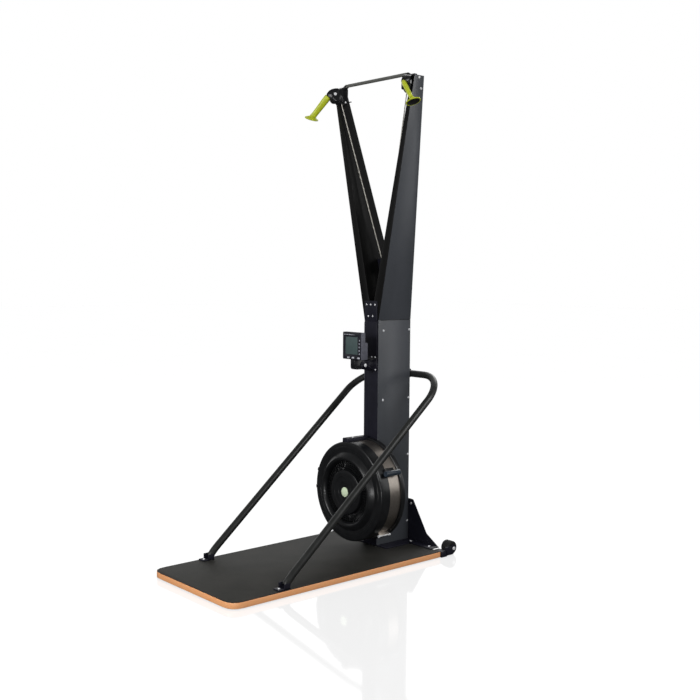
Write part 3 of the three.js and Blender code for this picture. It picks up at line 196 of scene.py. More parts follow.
# The arms are grey outside, and near-black and duller inside and towards the user.
ARM_INSIDE, OUTER_GLOSS, INNER_GLOSS = "#131313", 0.5, 0.2
TOWARDS_USER, INWARD = -0.7, -0.001
arm_powder_coat = new_material("two-tone powder coat of the arms", "#43464B", 0.36)
arm_colour = mottle(arm_powder_coat, "#3E4146", "#494C52", PANEL_PATCH, PANEL_STRETCH)
grain(arm_powder_coat, PEEL, PEEL_DEPTH, (0.32, 0.42))
arm_tree = arm_powder_coat.node_tree
face_way = add_node(arm_tree, "TexCoord").outputs["Normal"]
way_parts = add_node(arm_tree, "SeparateXYZ", Vector=face_way).outputs
side_parts = add_node(arm_tree, "SeparateXYZ", Vector=object_place(arm_tree)).outputs
faces_user = add_node(arm_tree, "Math", {"operation": "LESS_THAN"}, _0=way_parts["Y"], _1=TOWARDS_USER)
outward = add_node(arm_tree, "Math", {"operation": "MULTIPLY"}, _0=way_parts["X"], _1=side_parts["X"])
faces_in = add_node(arm_tree, "Math", {"operation": "LESS_THAN"}, _0=outward.outputs[0], _1=INWARD)
is_black = add_node(
    arm_tree, "Math", {"operation": "MAXIMUM"}, _0=faces_user.outputs[0], _1=faces_in.outputs[0],
).outputs[0]
two_tone = add_node(arm_tree, "MixRGB", Fac=is_black, Color1=arm_colour, Color2=linear(ARM_INSIDE))
gloss = add_node(arm_tree, "MapRange", Value=is_black, To_Min=OUTER_GLOSS, To_Max=INNER_GLOSS)
to_shader(arm_tree, gloss.outputs["Result"], "Specular IOR Level")
to_shader(arm_tree, two_tone.outputs[0], "Base Color")

# A thicker, glossier coat on tube draws one long line of light along it.
gloss_tube_paint = new_material("gloss black powder coat on steel tube", "#202120", 0.45)
mottle(gloss_tube_paint, "#1D1E1D", "#252625", 0.04)
grain(gloss_tube_paint, 0.002, 0.00003, (0.32, 0.42))

# Warm grey paint on flat bar, which looks lighter than the sheet beside it.
bar_paint = new_material("grey paint on steel bar", "#676864", 0.4)
mottle(bar_paint, "#60615D", "#6F706C", 0.03)
grain(bar_paint, 0.002, 0.00003, (0.28, 0.36))
print("5 paints")

# %% [markdown]
# ## Moulded plastics and rubber
# The housings are injection-moulded ABS with a spark-eroded grain, which breaks up the gloss.
# The handles are a lime polyamide, slightly see-through at the skin. The rubber of the wheels
# and buttons has no gloss of its own.

# %% Plastics
# Glossy black mouldings: nearly black, with broad soft highlights on every round edge.
black_abs = new_material("black ABS with a moulded grain", "#131416", 0.3)
mottle(black_abs, "#101113", "#17181A", 0.03)
grain(black_abs, 0.0015, 0.00003, (0.24, 0.34))

# The monitor's case has a coarser grain, which turns its gloss to satin.
case_abs = new_material("blue-black ABS of the case", "#1B1C26", 0.45)
mottle(case_abs, "#181923", "#1F202A", 0.02)
grain(case_abs, 0.0012, 0.00004, (0.4, 0.52))

# Its back is the same plastic dyed grey, a little duller.
grey_abs = new_material("grey ABS of the back shell", "#5A5B66", 0.5)
mottle(grey_abs, "#555660", "#60616C", 0.02)
grain(grey_abs, 0.0012, 0.00004, (0.45, 0.55))

# Light enters the lime nylon a few millimetres, so its shaded side glows a little.
NYLON_DEPTH = (0.003, 0.003, 0.001)
lime_nylon = new_material(
    "lime nylon of the handles", "#C6D22A", 0.36, Subsurface_Weight=0.08, Subsurface_Radius=NYLON_DEPTH,
)
mottle(lime_nylon, "#BECA24", "#D0DB36", 0.015)
grain(lime_nylon, 0.0012, 0.00005, (0.3, 0.44))

# A pale cap, the brightest spot on the housing.
cap_plastic = new_material("pale green moulded cap", "#EAFBD6", 0.4)
mottle(cap_plastic, "#E4F7CF", "#F0FEDE", 0.008)
grain(cap_plastic, 0.001, 0.00003, (0.35, 0.45))

# The damper's nylon is polished by fingers, so its highlights are small and sharp.
damper_nylon = new_material("blue-black nylon of the damper", "#28323D", 0.28)
mottle(damper_nylon, "#242D37", "#2E3945", 0.012)
grain(damper_nylon, 0.0012, 0.00003, (0.22, 0.34))

# Moulded rubber scatters light and stays flat black.
tyre_rubber = new_material("black moulded rubber", "#161616", 0.8)
mottle(tyre_rubber, "#131313", "#1B1B1B", 0.01)
grain(tyre_rubber, 0.001, 0.00006, (0.72, 0.88))

# Silicone buttons have a soft, powdery sheen.
button_rubber = new_material("grey silicone of the buttons", "#9A9CA8", 0.6)
mottle(button_rubber, "#9294A0", "#A4A6B2", 0.004)
grain(button_rubber, 0.0008, 0.00002, (0.55, 0.68))

# The three large keys are moulded from a paler silicone.
key_rubber = new_material("pale silicone of the keys", "#CDCFD8", 0.55)
mottle(key_rubber, "#C5C7D0", "#D6D8E0", 0.004)
grain(key_rubber, 0.0008, 0.00002, (0.5, 0.62))
print("9 plastics and rubbers")

# %% [markdown]
# ## Platform
# The platform is birch plywood under a phenolic film with a pressed non-slip weave. The weave's
# pitch is about 2 mm and is drawn at 6 mm so that it shows. The edge shows the plies as thin
# bands of lighter and darker wood, 24 mm of them, sealed with clear lacquer.

# %% Platform finishes
# A wave texture of scale 1 repeats every 0.314 m, so this over a pitch gives its scale.
WAVE_LENGTH = 0.314

# Phenolic film is dull and dark, and its pressed weave breaks what little it mirrors.
WEAVE_PITCH, WEAVE_DEPTH = 0.006, 0.0003
deck_film = new_material("phenolic film with a non-slip weave", "#333230", 0.62, Specular_IOR_Level=0.12)
mottle(deck_film, "#30302D", "#373633", 0.12)
deck_tree = deck_film.node_tree
deck_place = object_place(deck_tree)
across, along = (
    add_node(
        deck_tree, "TexWave", {"bands_direction": way, "wave_profile": "SIN"},
        Vector=deck_place, Scale=WAVE_LENGTH / WEAVE_PITCH, Distortion=0.0,
    ).outputs["Fac"]
    for way in ("X", "Y")
)
weave = add_node(deck_tree, "Math", {"operation": "MULTIPLY"}, _0=across, _1=along)
weave_bump = add_node(deck_tree, "Bump", Height=weave.outputs[0], Distance=WEAVE_DEPTH, Strength=0.5)
to_shader(deck_tree, weave_bump.outputs["Normal"], "Normal")

# Lacquer warms the sawn edge and gives it a thin clear gloss over the plies.
PLY_THICKNESS, FIBRES_PER_METRE, FIBRE_STRETCH = 0.0034, 60.0, (1, 1, 14)
birch_plywood = new_material("lacquered birch plywood", "#D79B6B", 0.38, Coat_Weight=0.25)
birch_tree = birch_plywood.node_tree
fibres = add_node(
    birch_tree, "TexNoise",
    Vector=object_place(birch_tree, FIBRE_STRETCH), Scale=FIBRES_PER_METRE, Detail=5.0,
)
plies = add_node(
    birch_tree, "TexWave", {"bands_direction": "Z", "wave_profile": "SIN"},
    Vector=object_place(birch_tree), Scale=WAVE_LENGTH / PLY_THICKNESS, Distortion=0.4,
)
half_fibres = add_node(birch_tree, "Math", {"operation": "MULTIPLY"}, _0=fibres.outputs["Fac"], _1=0.5)
ply_mix = add_node(
    birch_tree, "Math", {"operation": "MULTIPLY_ADD"},
    _0=plies.outputs["Fac"], _1=0.5, _2=half_fibres.outputs[0],
)
ply_ramp = add_node(birch_tree, "ValToRGB", Fac=ply_mix.outputs[0])
for element, position, shade in zip(ply_ramp.color_ramp.elements, (0.2, 0.8), ("#FF9C58", "#FFCC98")):
    element.position = position
    element.color = linear(shade)
to_shader(birch_tree, ply_ramp.outputs["Color"], "Base Color")
print(f"weave of {WEAVE_PITCH * 1000:.0f} mm, plies of {PLY_THICKNESS * 1000:.1f} mm")

# %% [markdown]
# ## Metals, cord and display
# The band round the housing is brushed stainless strip, so its gloss is streaked along the strip.
# Screws are zinc-plated, and their near-white colour is a painted glint. The cords are braided polyester,
# and the display is a switched-off liquid-crystal panel behind clear acrylic, with the faint grid of its
# dots.

# %% Metals, cord and display
# Brushing draws the highlight out across the band, and the steel has a warm tint.
BRUSH_STRETCH = (1, 12, 1)
brushed_strip = new_material("brushed stainless strip", "#A39B93", 0.34, 1.0)
mottle(brushed_strip, "#958D85", "#B2AAA2", 0.01, BRUSH_STRETCH)
grain(brushed_strip, 0.0015, 0.00003, (0.26, 0.46), BRUSH_STRETCH)

# Zinc-plated steel is drawn near-white and barely metallic. Its pale colour is a painted glint, so a screw
# reads as a pale dot whatever it mirrors.
zinc_with_painted_glint = new_material("zinc-plated steel with a painted glint", "#F0F1F3", 0.35, 0.2)
mottle(zinc_with_painted_glint, "#E8E9EB", "#F8F9FB", 0.003)
grain(zinc_with_painted_glint, 0.001, 0.00002, (0.22, 0.4))

# Braided strands cross about every 3 mm. They are drawn at 8 mm, and scatter light like cloth.
BRAID_PITCH = 0.008
braid = new_material("braided polyester cord", "#BEBAB1", 0.8)
braid_tree = braid.node_tree
strands = add_node(
    braid_tree, "TexWave", {"bands_direction": "DIAGONAL"},
    Vector=object_place(braid_tree), Scale=WAVE_LENGTH / BRAID_PITCH, Distortion=1.5,
)
braid_ramp = add_node(braid_tree, "ValToRGB", Fac=strands.outputs["Fac"])
for element, shade in zip(braid_ramp.color_ramp.elements, ("#A8A49B", "#D4D0C8")):
    element.color = linear(shade)
to_shader(braid_tree, braid_ramp.outputs["Color"], "Base Color")

# A dark green-grey panel under a thin clear coat, with rows of dots drawn at 4 mm.
DOT_PITCH = 0.004
display_panel = new_material("switched-off display behind acrylic", "#4C5C5C", 0.3, Coat_Weight=0.2)
display_tree = display_panel.node_tree
rows = add_node(
    display_tree, "TexWave", {"bands_direction": "Z"},
    Vector=object_place(display_tree), Scale=WAVE_LENGTH / DOT_PITCH, Distortion=0.0,
)
display_mix = add_node(
    display_tree, "MixRGB", {"blend_type": "SOFT_LIGHT"},
    Fac=0.3, Color1=linear("#4E5E5E"), Color2=rows.outputs["Color"],
)
to_shader(display_tree, display_mix.outputs[0], "Base Color")

finishes = {
    "front_paint": satin_powder_coat, "side_paint": grey_powder_coat, "cover_plastic": satin_powder_coat,
    "black_plastic": black_abs, "case_plastic": case_abs, "grey_plastic": grey_abs, "bar_paint": bar_paint,
    "tube_paint": gloss_tube_paint, "rubber": tyre_rubber, "deck_skin": deck_film, "birch": birch_plywood,
    "lime_plastic": lime_nylon, "pale_green_plastic": cap_plastic, "steel": zinc_with_painted_glint, "cord": braid,
    "blue_plastic": damper_nylon, "screen": display_panel, "button_rubber": button_rubber,
}
slot_of_node = {row["node"]: row["material_slot"] for row in frame["record"]["subparts"]}
print(f"{len(finishes)} finishes")


# %% [markdown]
# ## Finishing the carried-over pieces
# A sheet-metal fold or a moulded edge is never razor sharp, and the thin line of light along it
# is what makes a part look real. So each hard piece is copied, its loose triangles are merged and
# dissolved into whole faces, its sharp edges get a small bevel, and the rest is shaded smooth.

# %% Helpers for pieces
SMOOTH_ANGLE, FLAT_ANGLE = math.radians(35), math.radians(0.5)
WELD = 0.00002


def activate(piece):
    """Makes a piece the only one selected, and the active one."""
    bpy.ops.object.select_all(action="DESELECT")
    piece.select_set(True)
    bpy.context.view_layer.objects.active = piece


def coat(piece, name, finish):
    """Puts a finished piece at the origin, shades it smooth, and gives it its name and finish."""
    activate(piece)
    bpy.ops.object.transform_apply(location=True, rotation=True, scale=True)
    bpy.ops.object.shade_smooth_by_angle(angle=SMOOTH_ANGLE)
    piece.name = name
    piece.data.materials.clear()
    piece.data.materials.append(finish)


def settle(piece, name, body, slot, finish=None, replaced=()):
    """Coats a piece in the finish of its slot unless another is given, hangs it on the body it rides on and
    hides the nodes it replaces.
    """
    coat(piece, name, finish or finishes[slot])
    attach(piece, body)
    if replaced:
        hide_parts(*replaced)


def copied(piece, name, change=None):
    """A copy of a piece with its own mesh, moved by a matrix."""
    copy = bpy.data.objects.new(name, piece.data.copy())
    bpy.context.scene.collection.objects.link(copy)
    if change is not None:
        copy.data.transform(change)
    return copy


def finished_copy(node, bevel):
    """A copy of a node's mesh as one welded piece with softened edges."""
    piece = copied(nodes[node], f"{node}_finished")
    activate(piece)
    bpy.ops.object.mode_set(mode="EDIT")
    bpy.ops.mesh.select_all(action="SELECT")
    bpy.ops.mesh.remove_doubles(threshold=WELD)
    if bevel:
        bpy.ops.mesh.dissolve_limited(angle_limit=FLAT_ANGLE)
    bpy.ops.object.mode_set(mode="OBJECT")
    if bevel:
        edge = piece.modifiers.new("edge", "BEVEL")
        edge.width = bevel
        edge.segments = 2
        edge.limit_method = "ANGLE"
        edge.angle_limit = SMOOTH_ANGLE
        bpy.ops.object.modifier_apply(modifier=edge.name)
    return piece


# %% Finish the nodes
EDGE_BEVELS = {
    "underlay_pad": 0.0005, "platform_board": 0.0015, "deck_sheet": 0.0006, "base_plate": 0.0008,
    "column_side_right": 0.0008, "column_side_left": 0.0008, "column_front": 0.0006, "column_rear": 0.0006,
    "front_cover": 0.0012, "arm_joint_plate": 0.001, "arm_right": 0.0006, "arm_left": 0.0006,
    "top_bar": 0.0005, "rear_brace": 0.0008, "wheel_axle_right": 0.0008, "wheel_axle_left": 0.0008,
    "hub_cap": 0.0008, "monitor_back": 0.0012, "monitor_lens": 0.0003, "hoop_clamp": 0.001,
    "flywheel_axle": 0.0006, "monitor_cradle": 0.001,
}
SMOOTH_ONLY = [
    "pulley_housing_right", "pulley_housing_left", "pulley_bolt_right", "pulley_bolt_left",
    "top_pulley_right", "top_pulley_left", "guide_pulley_right", "guide_pulley_left", "guide_bracket",
    "cord_drum_right", "cord_drum_left", "fan_wheel", "monitor_bracket", "monitor_front",
    *(f"menu_button_{i}" for i in range(1, 6)), "key_left", "key_middle", "key_right",
]
NODE_FINISHES = {
    "arm_right": arm_powder_coat, "arm_left": arm_powder_coat,
    "key_left": key_rubber, "key_middle": key_rubber, "key_right": key_rubber,
}
for node, width in [*EDGE_BEVELS.items(), *((name, 0) for name in SMOOTH_ONLY)]:
    piece = finished_copy(node, width)
    slot = slot_of_node[node]
    settle(piece, f"{node}_finished", body_of_node[node], slot, NODE_FINISHES.get(node), [node])
print(f"{len(EDGE_BEVELS) + len(SMOOTH_ONLY)} pieces finished")


# %% [markdown]
# ## Turned pieces
# Anything round about an axis starts as a circle, which is extruded ring by ring and resized, the
# way a turner follows a profile. The profile lists radius and height, and the finished piece is
# then laid along its axis. A pair is made once on the right, and mirrored to the left.

# %% Helpers for new pieces
RING_WELD = 0.00001
UP, REARWARD = Vector((0, 0, 1)), Vector((0, 1, 0))
TO_USER, RIGHTWARD = Vector((0, -1, 0)), Vector((1, 0, 0))
SIDES = ((1, "right"), (-1, "left"))


def turn_from_up(way):
    """The turn that lays a piece made along Z along another way."""
    return UP.rotation_difference(way).to_matrix().to_4x4()


def ring(inner, outer, start, end):
    """The profile of a ring with a square section."""
    return [(inner, start), (outer, start), (outer, end), (inner, end), (inner, start)]


def both_ways(half):
    """A closed profile that is the same at both ends, from its first half."""
    return half + [(radius, -height) for radius, height in reversed(half)] + half[:1]


def turned(profile, place, axis, steps=48):
    """A piece turned about an axis, from a profile of radius and height in metres."""
    radius, height = profile[0]
    bpy.ops.object.select_all(action="DESELECT")
    bpy.ops.mesh.primitive_circle_add(vertices=steps, radius=radius, location=(0, 0, 0))
    piece = bpy.context.object
    bpy.ops.object.mode_set(mode="EDIT")
    bpy.ops.transform.translate(value=(0, 0, height))
    for next_radius, next_height in profile[1:]:
        rise = (0, 0, next_height - height)
        bpy.ops.mesh.extrude_region_move(TRANSFORM_OT_translate={"value": rise})
        share = next_radius / radius
        bpy.ops.transform.resize(value=(share, share, 1), center_override=(0, 0, next_height))
        radius, height = next_radius, next_height
    bpy.ops.mesh.select_all(action="SELECT")
    bpy.ops.mesh.remove_doubles(threshold=RING_WELD)
    bpy.ops.mesh.fill_holes(sides=0)
    bpy.ops.mesh.normals_make_consistent(inside=False)
    bpy.ops.object.mode_set(mode="OBJECT")
    piece.data.transform(Matrix.Translation(place) @ turn_from_up(axis))
    return piece


def block(low, high, bevel):
    """A block between two corners, with rounded edges."""
    low, high = Vector(low), Vector(high)
    bpy.ops.object.select_all(action="DESELECT")
    bpy.ops.mesh.primitive_cube_add(size=1, location=(low + high) / 2, scale=high - low)
    piece = bpy.context.object
    bpy.ops.object.transform_apply(location=True, rotation=True, scale=True)
    bpy.ops.object.mode_set(mode="EDIT")
    bpy.ops.mesh.bevel(offset=bevel, segments=3, affect="EDGES")
    bpy.ops.object.mode_set(mode="OBJECT")
    return piece


def joined(pieces):
    """Joins pieces into the first one."""
    activate(pieces[0])
    for piece in pieces[1:]:
        piece.select_set(True)
    bpy.ops.object.join()
    return bpy.context.object


def settle_pair(piece, name, body, slot, finish=None, node=None):
    """Settles a right-hand piece and its mirrored copy. {} in a name stands for the side."""
    mirrored = copied(piece, piece.name, Matrix.Scale(-1, 4, RIGHTWARD))
    mirrored.data.flip_normals()
    for word, half in (("right", piece), ("left", mirrored)):
        replaced = [node.format(word)] if node else ()
        settle(half, name.format(word), body.format(word), slot, finish, replaced)


# %% [markdown]
# ## Screws
# The sheet metal is held by button-head screws with a hex socket. One screw is turned once, with a round
# socket sunk in its dome, and copied to every hole. Each group is one piece.

# %% Screws
SCREW_PROFILE = [(1, 0), (1, 0.12), (0.86, 0.4), (0.62, 0.55), (0.42, 0.6), (0.4, 0.25), (0.02, 0.2)]
screw_master = turned(SCREW_PROFILE, (0, 0, 0), UP, 18)


def screws(name, spots, way, radius):
    """A group of screws whose heads all point one way."""
    turn = turn_from_up(way) @ Matrix.Scale(radius, 4)
    group = [copied(screw_master, name, Matrix.Translation(spot) @ turn) for spot in spots]
    settle(joined(group), name, "frame", "steel")


column_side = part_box("column_side_right")[1].x
joint_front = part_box("arm_joint_plate")[0].y
brace_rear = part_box("rear_brace")[1].y
foot_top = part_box("base_plate")[1].z
arm_low, arm_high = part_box("arm_right")
HOOP_HEIGHT = 0.822
ARM_SLOPE = (arm_high.x - column_side) / (arm_high.z - arm_low.z)
COLUMN_SPOTS = [
    (0.438, 1.031), (0.438, 0.711), (0.602, 1.032), (0.602, 0.711), (0.602, 0.442), (0.602, 0.122),
]
ARM_SPOTS = [(0.431, 2.142), (0.451, 2.097)]
# Name, places on the right side, the way the heads point and their radius.
SIDE_SCREWS = [
    ("column_screws", [(column_side, y, z) for y, z in COLUMN_SPOTS], RIGHTWARD, 0.0052),
    (
        "arm_screws", [(column_side + (z - arm_low.z) * ARM_SLOPE, y, z) for y, z in ARM_SPOTS],
        Vector((1, 0, -ARM_SLOPE)).normalized(), 0.0062,
    ),
    ("brace_screw", [(0.066, brace_rear - 0.004, 0.207)], TO_USER, 0.0055),
    ("flange_screws", [(x, 0.582, foot_top) for x in (0.096, 0.216)], UP, 0.0055),
    ("hoop_foot_screw", [(0.2735, -0.331, foot_top)], UP, 0.0055),
    ("hoop_clamp_screw", [(0.01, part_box("hoop_clamp")[1].y, HOOP_HEIGHT)], REARWARD, 0.0045),
    ("housing_screw", [(0.214, 0.425, 2.09)], -RIGHTWARD, 0.005),
]
PIN_PROFILE, PIN_PLACE = [(0.0024, 0), (0.0024, 0.016), (0.0016, 0.0168)], (0.2145, 0.447, 2.093)
for side, word in SIDES:
    flip = Vector((side, 1, 1))
    for name, spots, way, radius in SIDE_SCREWS:
        screws(f"{name}_{word}", [Vector(spot) * flip for spot in spots], way * flip, radius)
    pin = turned(PIN_PROFILE, Vector(PIN_PLACE) * flip, -RIGHTWARD * flip, 16)
    settle(pin, f"housing_pin_{word}", "frame", "black_plastic")

# The thin black strip along the joint of arms and column is painted shade: it stands for the shadow in the
# narrow gap there.
SEAM_HEIGHT, SEAM_HALF, SEAM_IN, SEAM_OUT = 1.0785, 0.0012, 0.0006, 0.0004
seam_shade = block(
    (column_side - SEAM_IN, 0.42, SEAM_HEIGHT - SEAM_HALF),
    (column_side + SEAM_OUT, 0.602, SEAM_HEIGHT + SEAM_HALF), 0.0002,
)
settle_pair(seam_shade, "arm_seam_{}", "frame", "black_plastic")

bracket_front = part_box("front_cover")[1].y - 0.006
JOINT_SPOTS = [(-0.028, 1.15), (0, 1.15), (0.028, 1.15), (-0.015, 1.097), (0.015, 1.097)]
BRACKET_SPOTS = [(0.011, 0.91), (0.033, 0.91), (-0.033, 0.91), (0.036, 0.853), (-0.036, 0.853)]
screws("joint_plate_screws", [(x, joint_front, z) for x, z in JOINT_SPOTS], TO_USER, 0.0045)
screws("bracket_screws", [(x, bracket_front, z) for x, z in BRACKET_SPOTS], TO_USER, 0.0042)

# The bar over the housing is drawn a little lower than its solid, and its screw with it.
BAR_SINK = 0.005
bar_low, bar_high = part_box("shell_bracket")
bar_top = bar_high.z - BAR_SINK
screws("lug_screw", [(-0.019, 0.315, bar_top)], UP, 0.005)
print(f"{2 * len(SIDE_SCREWS) + 3} groups of screws")

# %% [markdown]
# ## Hoop
# The hoop is one length of 32 mm steel tube: up from each foot, round two wide bends and across
# behind the column. A Bezier curve with a round bevel is the natural way to draw a bent tube. It
# is then made a mesh, with its ends closed.

# %% Hoop
hoop_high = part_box("hoop_tube")[1]
TUBE_RADIUS = 0.016
HOOP_SLOPE = math.radians(40.25)
HOOP_HALF, HOOP_REAR = hoop_high.x - TUBE_RADIUS, hoop_high.y - TUBE_RADIUS
SIDE_CORNER = 0.6134
BEND, BEND_PULL, STRAIGHT_PULL = 0.152, 0.084, 0.03
KINK_HEIGHT, STRAIGHT_START, KINK_TO_FOOT = 0.062, 0.09, Vector((0, -0.012, -0.0185))
# A parabola's one control point, as a share of the way to each of a Bezier curve's two.
PARABOLA = 2 / 3
slope_way = Vector((0, math.cos(HOOP_SLOPE), math.sin(HOOP_SLOPE)))


def on_hoop_side(height):
    """The place on the hoop's straight side at a height."""
    return Vector((HOOP_HALF, SIDE_CORNER - (HOOP_HEIGHT - height) / math.tan(HOOP_SLOPE), height))


kink = on_hoop_side(KINK_HEIGHT)
side_low = on_hoop_side(STRAIGHT_START)
foot = kink + KINK_TO_FOOT
side_top = on_hoop_side(HOOP_HEIGHT) - slope_way * BEND
bend_end = Vector((HOOP_HALF - BEND, HOOP_REAR, HOOP_HEIGHT))
# Each point of the right half, with the handles before and after it.
half_route = [
    (foot, foot, foot.lerp(kink, PARABOLA)),
    (side_low, side_low.lerp(kink, PARABOLA), side_low + slope_way * STRAIGHT_PULL),
    (side_top, side_top - slope_way * STRAIGHT_PULL, side_top + slope_way * BEND_PULL),
    (bend_end, bend_end + RIGHTWARD * BEND_PULL, bend_end - RIGHTWARD * STRAIGHT_PULL),
]
flip = Vector((-1, 1, 1))
route = half_route + [(p * flip, after * flip, before * flip) for p, before, after in reversed(half_route)]

bpy.ops.object.select_all(action="DESELECT")
bpy.ops.curve.primitive_bezier_curve_add(location=(0, 0, 0))
hoop = bpy.context.object
spline = hoop.data.splines[0]
spline.bezier_points.add(len(route) - len(spline.bezier_points))
for point, (place, before, after) in zip(spline.bezier_points, route):
    point.handle_left_type = point.handle_right_type = "FREE"
    point.co, point.handle_left, point.handle_right = place, before, after
spline.resolution_u = 20
hoop.data.bevel_depth = TUBE_RADIUS
hoop.data.bevel_resolution = 7
hoop.data.use_fill_caps = True
activate(hoop)
bpy.ops.object.convert(target="MESH")
hoop = bpy.context.object
settle(hoop, "hoop_finished", "frame", "tube_paint", replaced=["hoop_tube"])
print(f"hoop of {len(hoop.data.polygons)} faces")

# %% [markdown]
# ## Feet of the hoop
# Each end of the hoop stands between two low cheeks on a small plate, which is screwed to the deck.

# %% Feet of the hoop
PLATE_HALF, CHEEK_START, FOLD = 0.0195, TUBE_RADIUS + 0.0003, 0.0008
PLATE_FRONT, PLATE_REAR = -0.345, -0.287
CHEEK_FRONT, CHEEK_REAR, CHEEK_TOP = -0.32, -0.289, 0.055
foot_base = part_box("hoop_foot_right")[0].z
foot_parts = [block(
    (HOOP_HALF - PLATE_HALF, PLATE_FRONT, foot_base), (HOOP_HALF + PLATE_HALF, PLATE_REAR, foot_top), FOLD,
)]
for low_x in (HOOP_HALF - PLATE_HALF, HOOP_HALF + CHEEK_START):
    high_x = low_x + PLATE_HALF - CHEEK_START
    foot_parts.append(block((low_x, CHEEK_FRONT, foot_base + 0.001), (high_x, CHEEK_REAR, CHEEK_TOP), FOLD))
settle_pair(joined(foot_parts), "hoop_foot_{}_finished", "frame", "front_paint", node="hoop_foot_{}")
print(f"feet {HOOP_HALF:.3f} m off the middle")

# %% [markdown]
# ## Flywheel housing
# The front shell is a deep moulding: a plain rim, a raised ring that catches the light, and in
# its middle a shallow dish. Between them air is drawn in through a grille. The rim and the dish
# are turned at a finer step than the carried-over solid, and the grille is one rib, copied round.

# %% Flywheel housing
WHEEL = Vector((0, 0, 0.299))
shell_low, shell_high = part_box("front_shell")
CREST, SHELL_REAR = shell_low.y, shell_high.y
WALL = 0.003
GRILLE_FRONT, DISH_FRONT = CREST + 0.019, CREST + 0.005


def wheel_piece(profile, steps=128):
    """A piece turned about the flywheel's axis, from radius and Y."""
    return turned(profile, WHEEL, REARWARD, steps)


def wheel_turn(degrees):
    """Brings a piece that is made at 3 o'clock up round the flywheel."""
    return Matrix.Translation(WHEEL) @ Matrix.Rotation(-math.radians(degrees), 4, "Y")


def wheel_place(radius, degrees):
    """The place at a radius and an angle on the flywheel."""
    angle = math.radians(degrees)
    return WHEEL + radius * Vector((math.cos(angle), 0, math.sin(angle)))


rim = wheel_piece([
    (0.139, GRILLE_FRONT + WALL), (0.139, GRILLE_FRONT), (0.144, CREST + 0.009), (0.150, CREST + 0.0015),
    (0.153, CREST), (0.158, CREST), (0.161, CREST + 0.0015), (0.174, CREST + 0.0155), (0.180, CREST + 0.021),
    (0.192, CREST + 0.0205), (0.193, CREST + 0.0195), (0.205, CREST + 0.0195), (0.206, CREST + 0.0205),
    (0.2195, CREST + 0.021), (0.2245, CREST + 0.0225), (0.227, CREST + 0.0255), (0.228, CREST + 0.031),
    (0.228, SHELL_REAR), (0.225, SHELL_REAR), (0.225, CREST + 0.03), (0.2195, CREST + 0.024),
    (0.176, CREST + 0.024), (0.160, CREST + 0.003), (0.151, CREST + 0.003), (0.142, GRILLE_FRONT + WALL),
    (0.139, GRILLE_FRONT + WALL),
])
settle(rim, "front_shell_rim", "frame", "black_plastic", replaced=["front_shell"])
dish = wheel_piece([
    (0.0006, DISH_FRONT), (0.0425, DISH_FRONT), (0.0435, DISH_FRONT + 0.001), (0.0445, DISH_FRONT + 0.001),
    (0.0455, DISH_FRONT), (0.0705, DISH_FRONT), (0.0715, DISH_FRONT + 0.001), (0.0725, DISH_FRONT + 0.001),
    (0.0735, DISH_FRONT), (0.0965, DISH_FRONT), (0.0985, DISH_FRONT + 0.001), (0.1, DISH_FRONT + 0.004),
    (0.103, GRILLE_FRONT), (0.103, GRILLE_FRONT + WALL), (0.098, GRILLE_FRONT + WALL),
    (0.095, DISH_FRONT + 0.004), (0.012, DISH_FRONT + WALL + 0.0002), (0.0006, DISH_FRONT + WALL + 0.0002),
])
settle(dish, "front_shell_dish", "frame", "black_plastic", replaced=["front_shell"])

# %% Intake grille
RIB_COUNT, RIB_INNER, RIB_OUTER, RIB_HALF = 60, 0.1015, 0.1405, 0.0013
RING_RADII, RING_HALF, RING_FRONT, RING_REAR = (0.1105, 0.1205, 0.1305), 0.001, 0.0005, 0.0025
grille = [block(
    (RIB_INNER, GRILLE_FRONT, WHEEL.z - RIB_HALF),
    (RIB_OUTER, GRILLE_FRONT + WALL, WHEEL.z + RIB_HALF), 0.0004,
)]
for i in range(1, RIB_COUNT):
    turn = Matrix.Rotation(2 * math.pi * i / RIB_COUNT, 4, "Y")
    about_wheel = Matrix.Translation(WHEEL) @ turn @ Matrix.Translation(-WHEEL)
    grille.append(copied(grille[0], "rib", about_wheel))
for radius in RING_RADII:
    front, rear = GRILLE_FRONT + RING_FRONT, GRILLE_FRONT + RING_REAR
    grille.append(wheel_piece(ring(radius - RING_HALF, radius + RING_HALF, front, rear), 96))
settle(joined(grille), "intake_grille", "frame", "black_plastic", replaced=["front_shell"])
print(f"grille of {RIB_COUNT} ribs and {len(RING_RADII)} rings")

# %% [markdown]
# ## Band, rear shell and bracket
# Behind the front shell a broad steel band closes the drum, and a shallow rear shell ends it. The
# band is drawn tight where its ends meet in a lug, low on the right. A flat bar over the housing
# holds it to the column.

# %% Band, rear shell and bracket
BAND_REAR, BAND_RADIUS = 0.3855, 0.226
BAND_INSIDE = BAND_RADIUS - 0.0016
LUG_INNER, LUG_OUTER, LUG_HALF, LUG_INSET = 0.2245, 0.2415, 0.004, 0.003
REAR_FLOOR, AXLE_HOLE = 0.3925, 0.02
LUG_TURN = wheel_turn(-50)
band_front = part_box("steel_band")[0].y
rear_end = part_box("rear_shell")[1].y
band = wheel_piece(ring(BAND_INSIDE, BAND_RADIUS, band_front, BAND_REAR))
lug = block(
    (LUG_INNER, band_front + LUG_INSET, -LUG_HALF), (LUG_OUTER, BAND_REAR - LUG_INSET, LUG_HALF), 0.001,
)
lug.data.transform(LUG_TURN)
settle(joined([band, lug]), "steel_band_finished", "frame", "steel", brushed_strip, ["steel_band"])
rear_shell = wheel_piece([
    (AXLE_HOLE, REAR_FLOOR), (0.2185, REAR_FLOOR), (0.2225, BAND_REAR + 0.0003), (0.231, BAND_REAR + 0.0003),
    (0.2338, BAND_REAR + 0.0015), (0.235, BAND_REAR + 0.0045), (0.235, rear_end - 0.001), (0.234, rear_end),
    (AXLE_HOLE, rear_end), (AXLE_HOLE, REAR_FLOOR),
])
settle(rear_shell, "rear_shell_finished", "frame", "black_plastic", replaced=["rear_shell"])

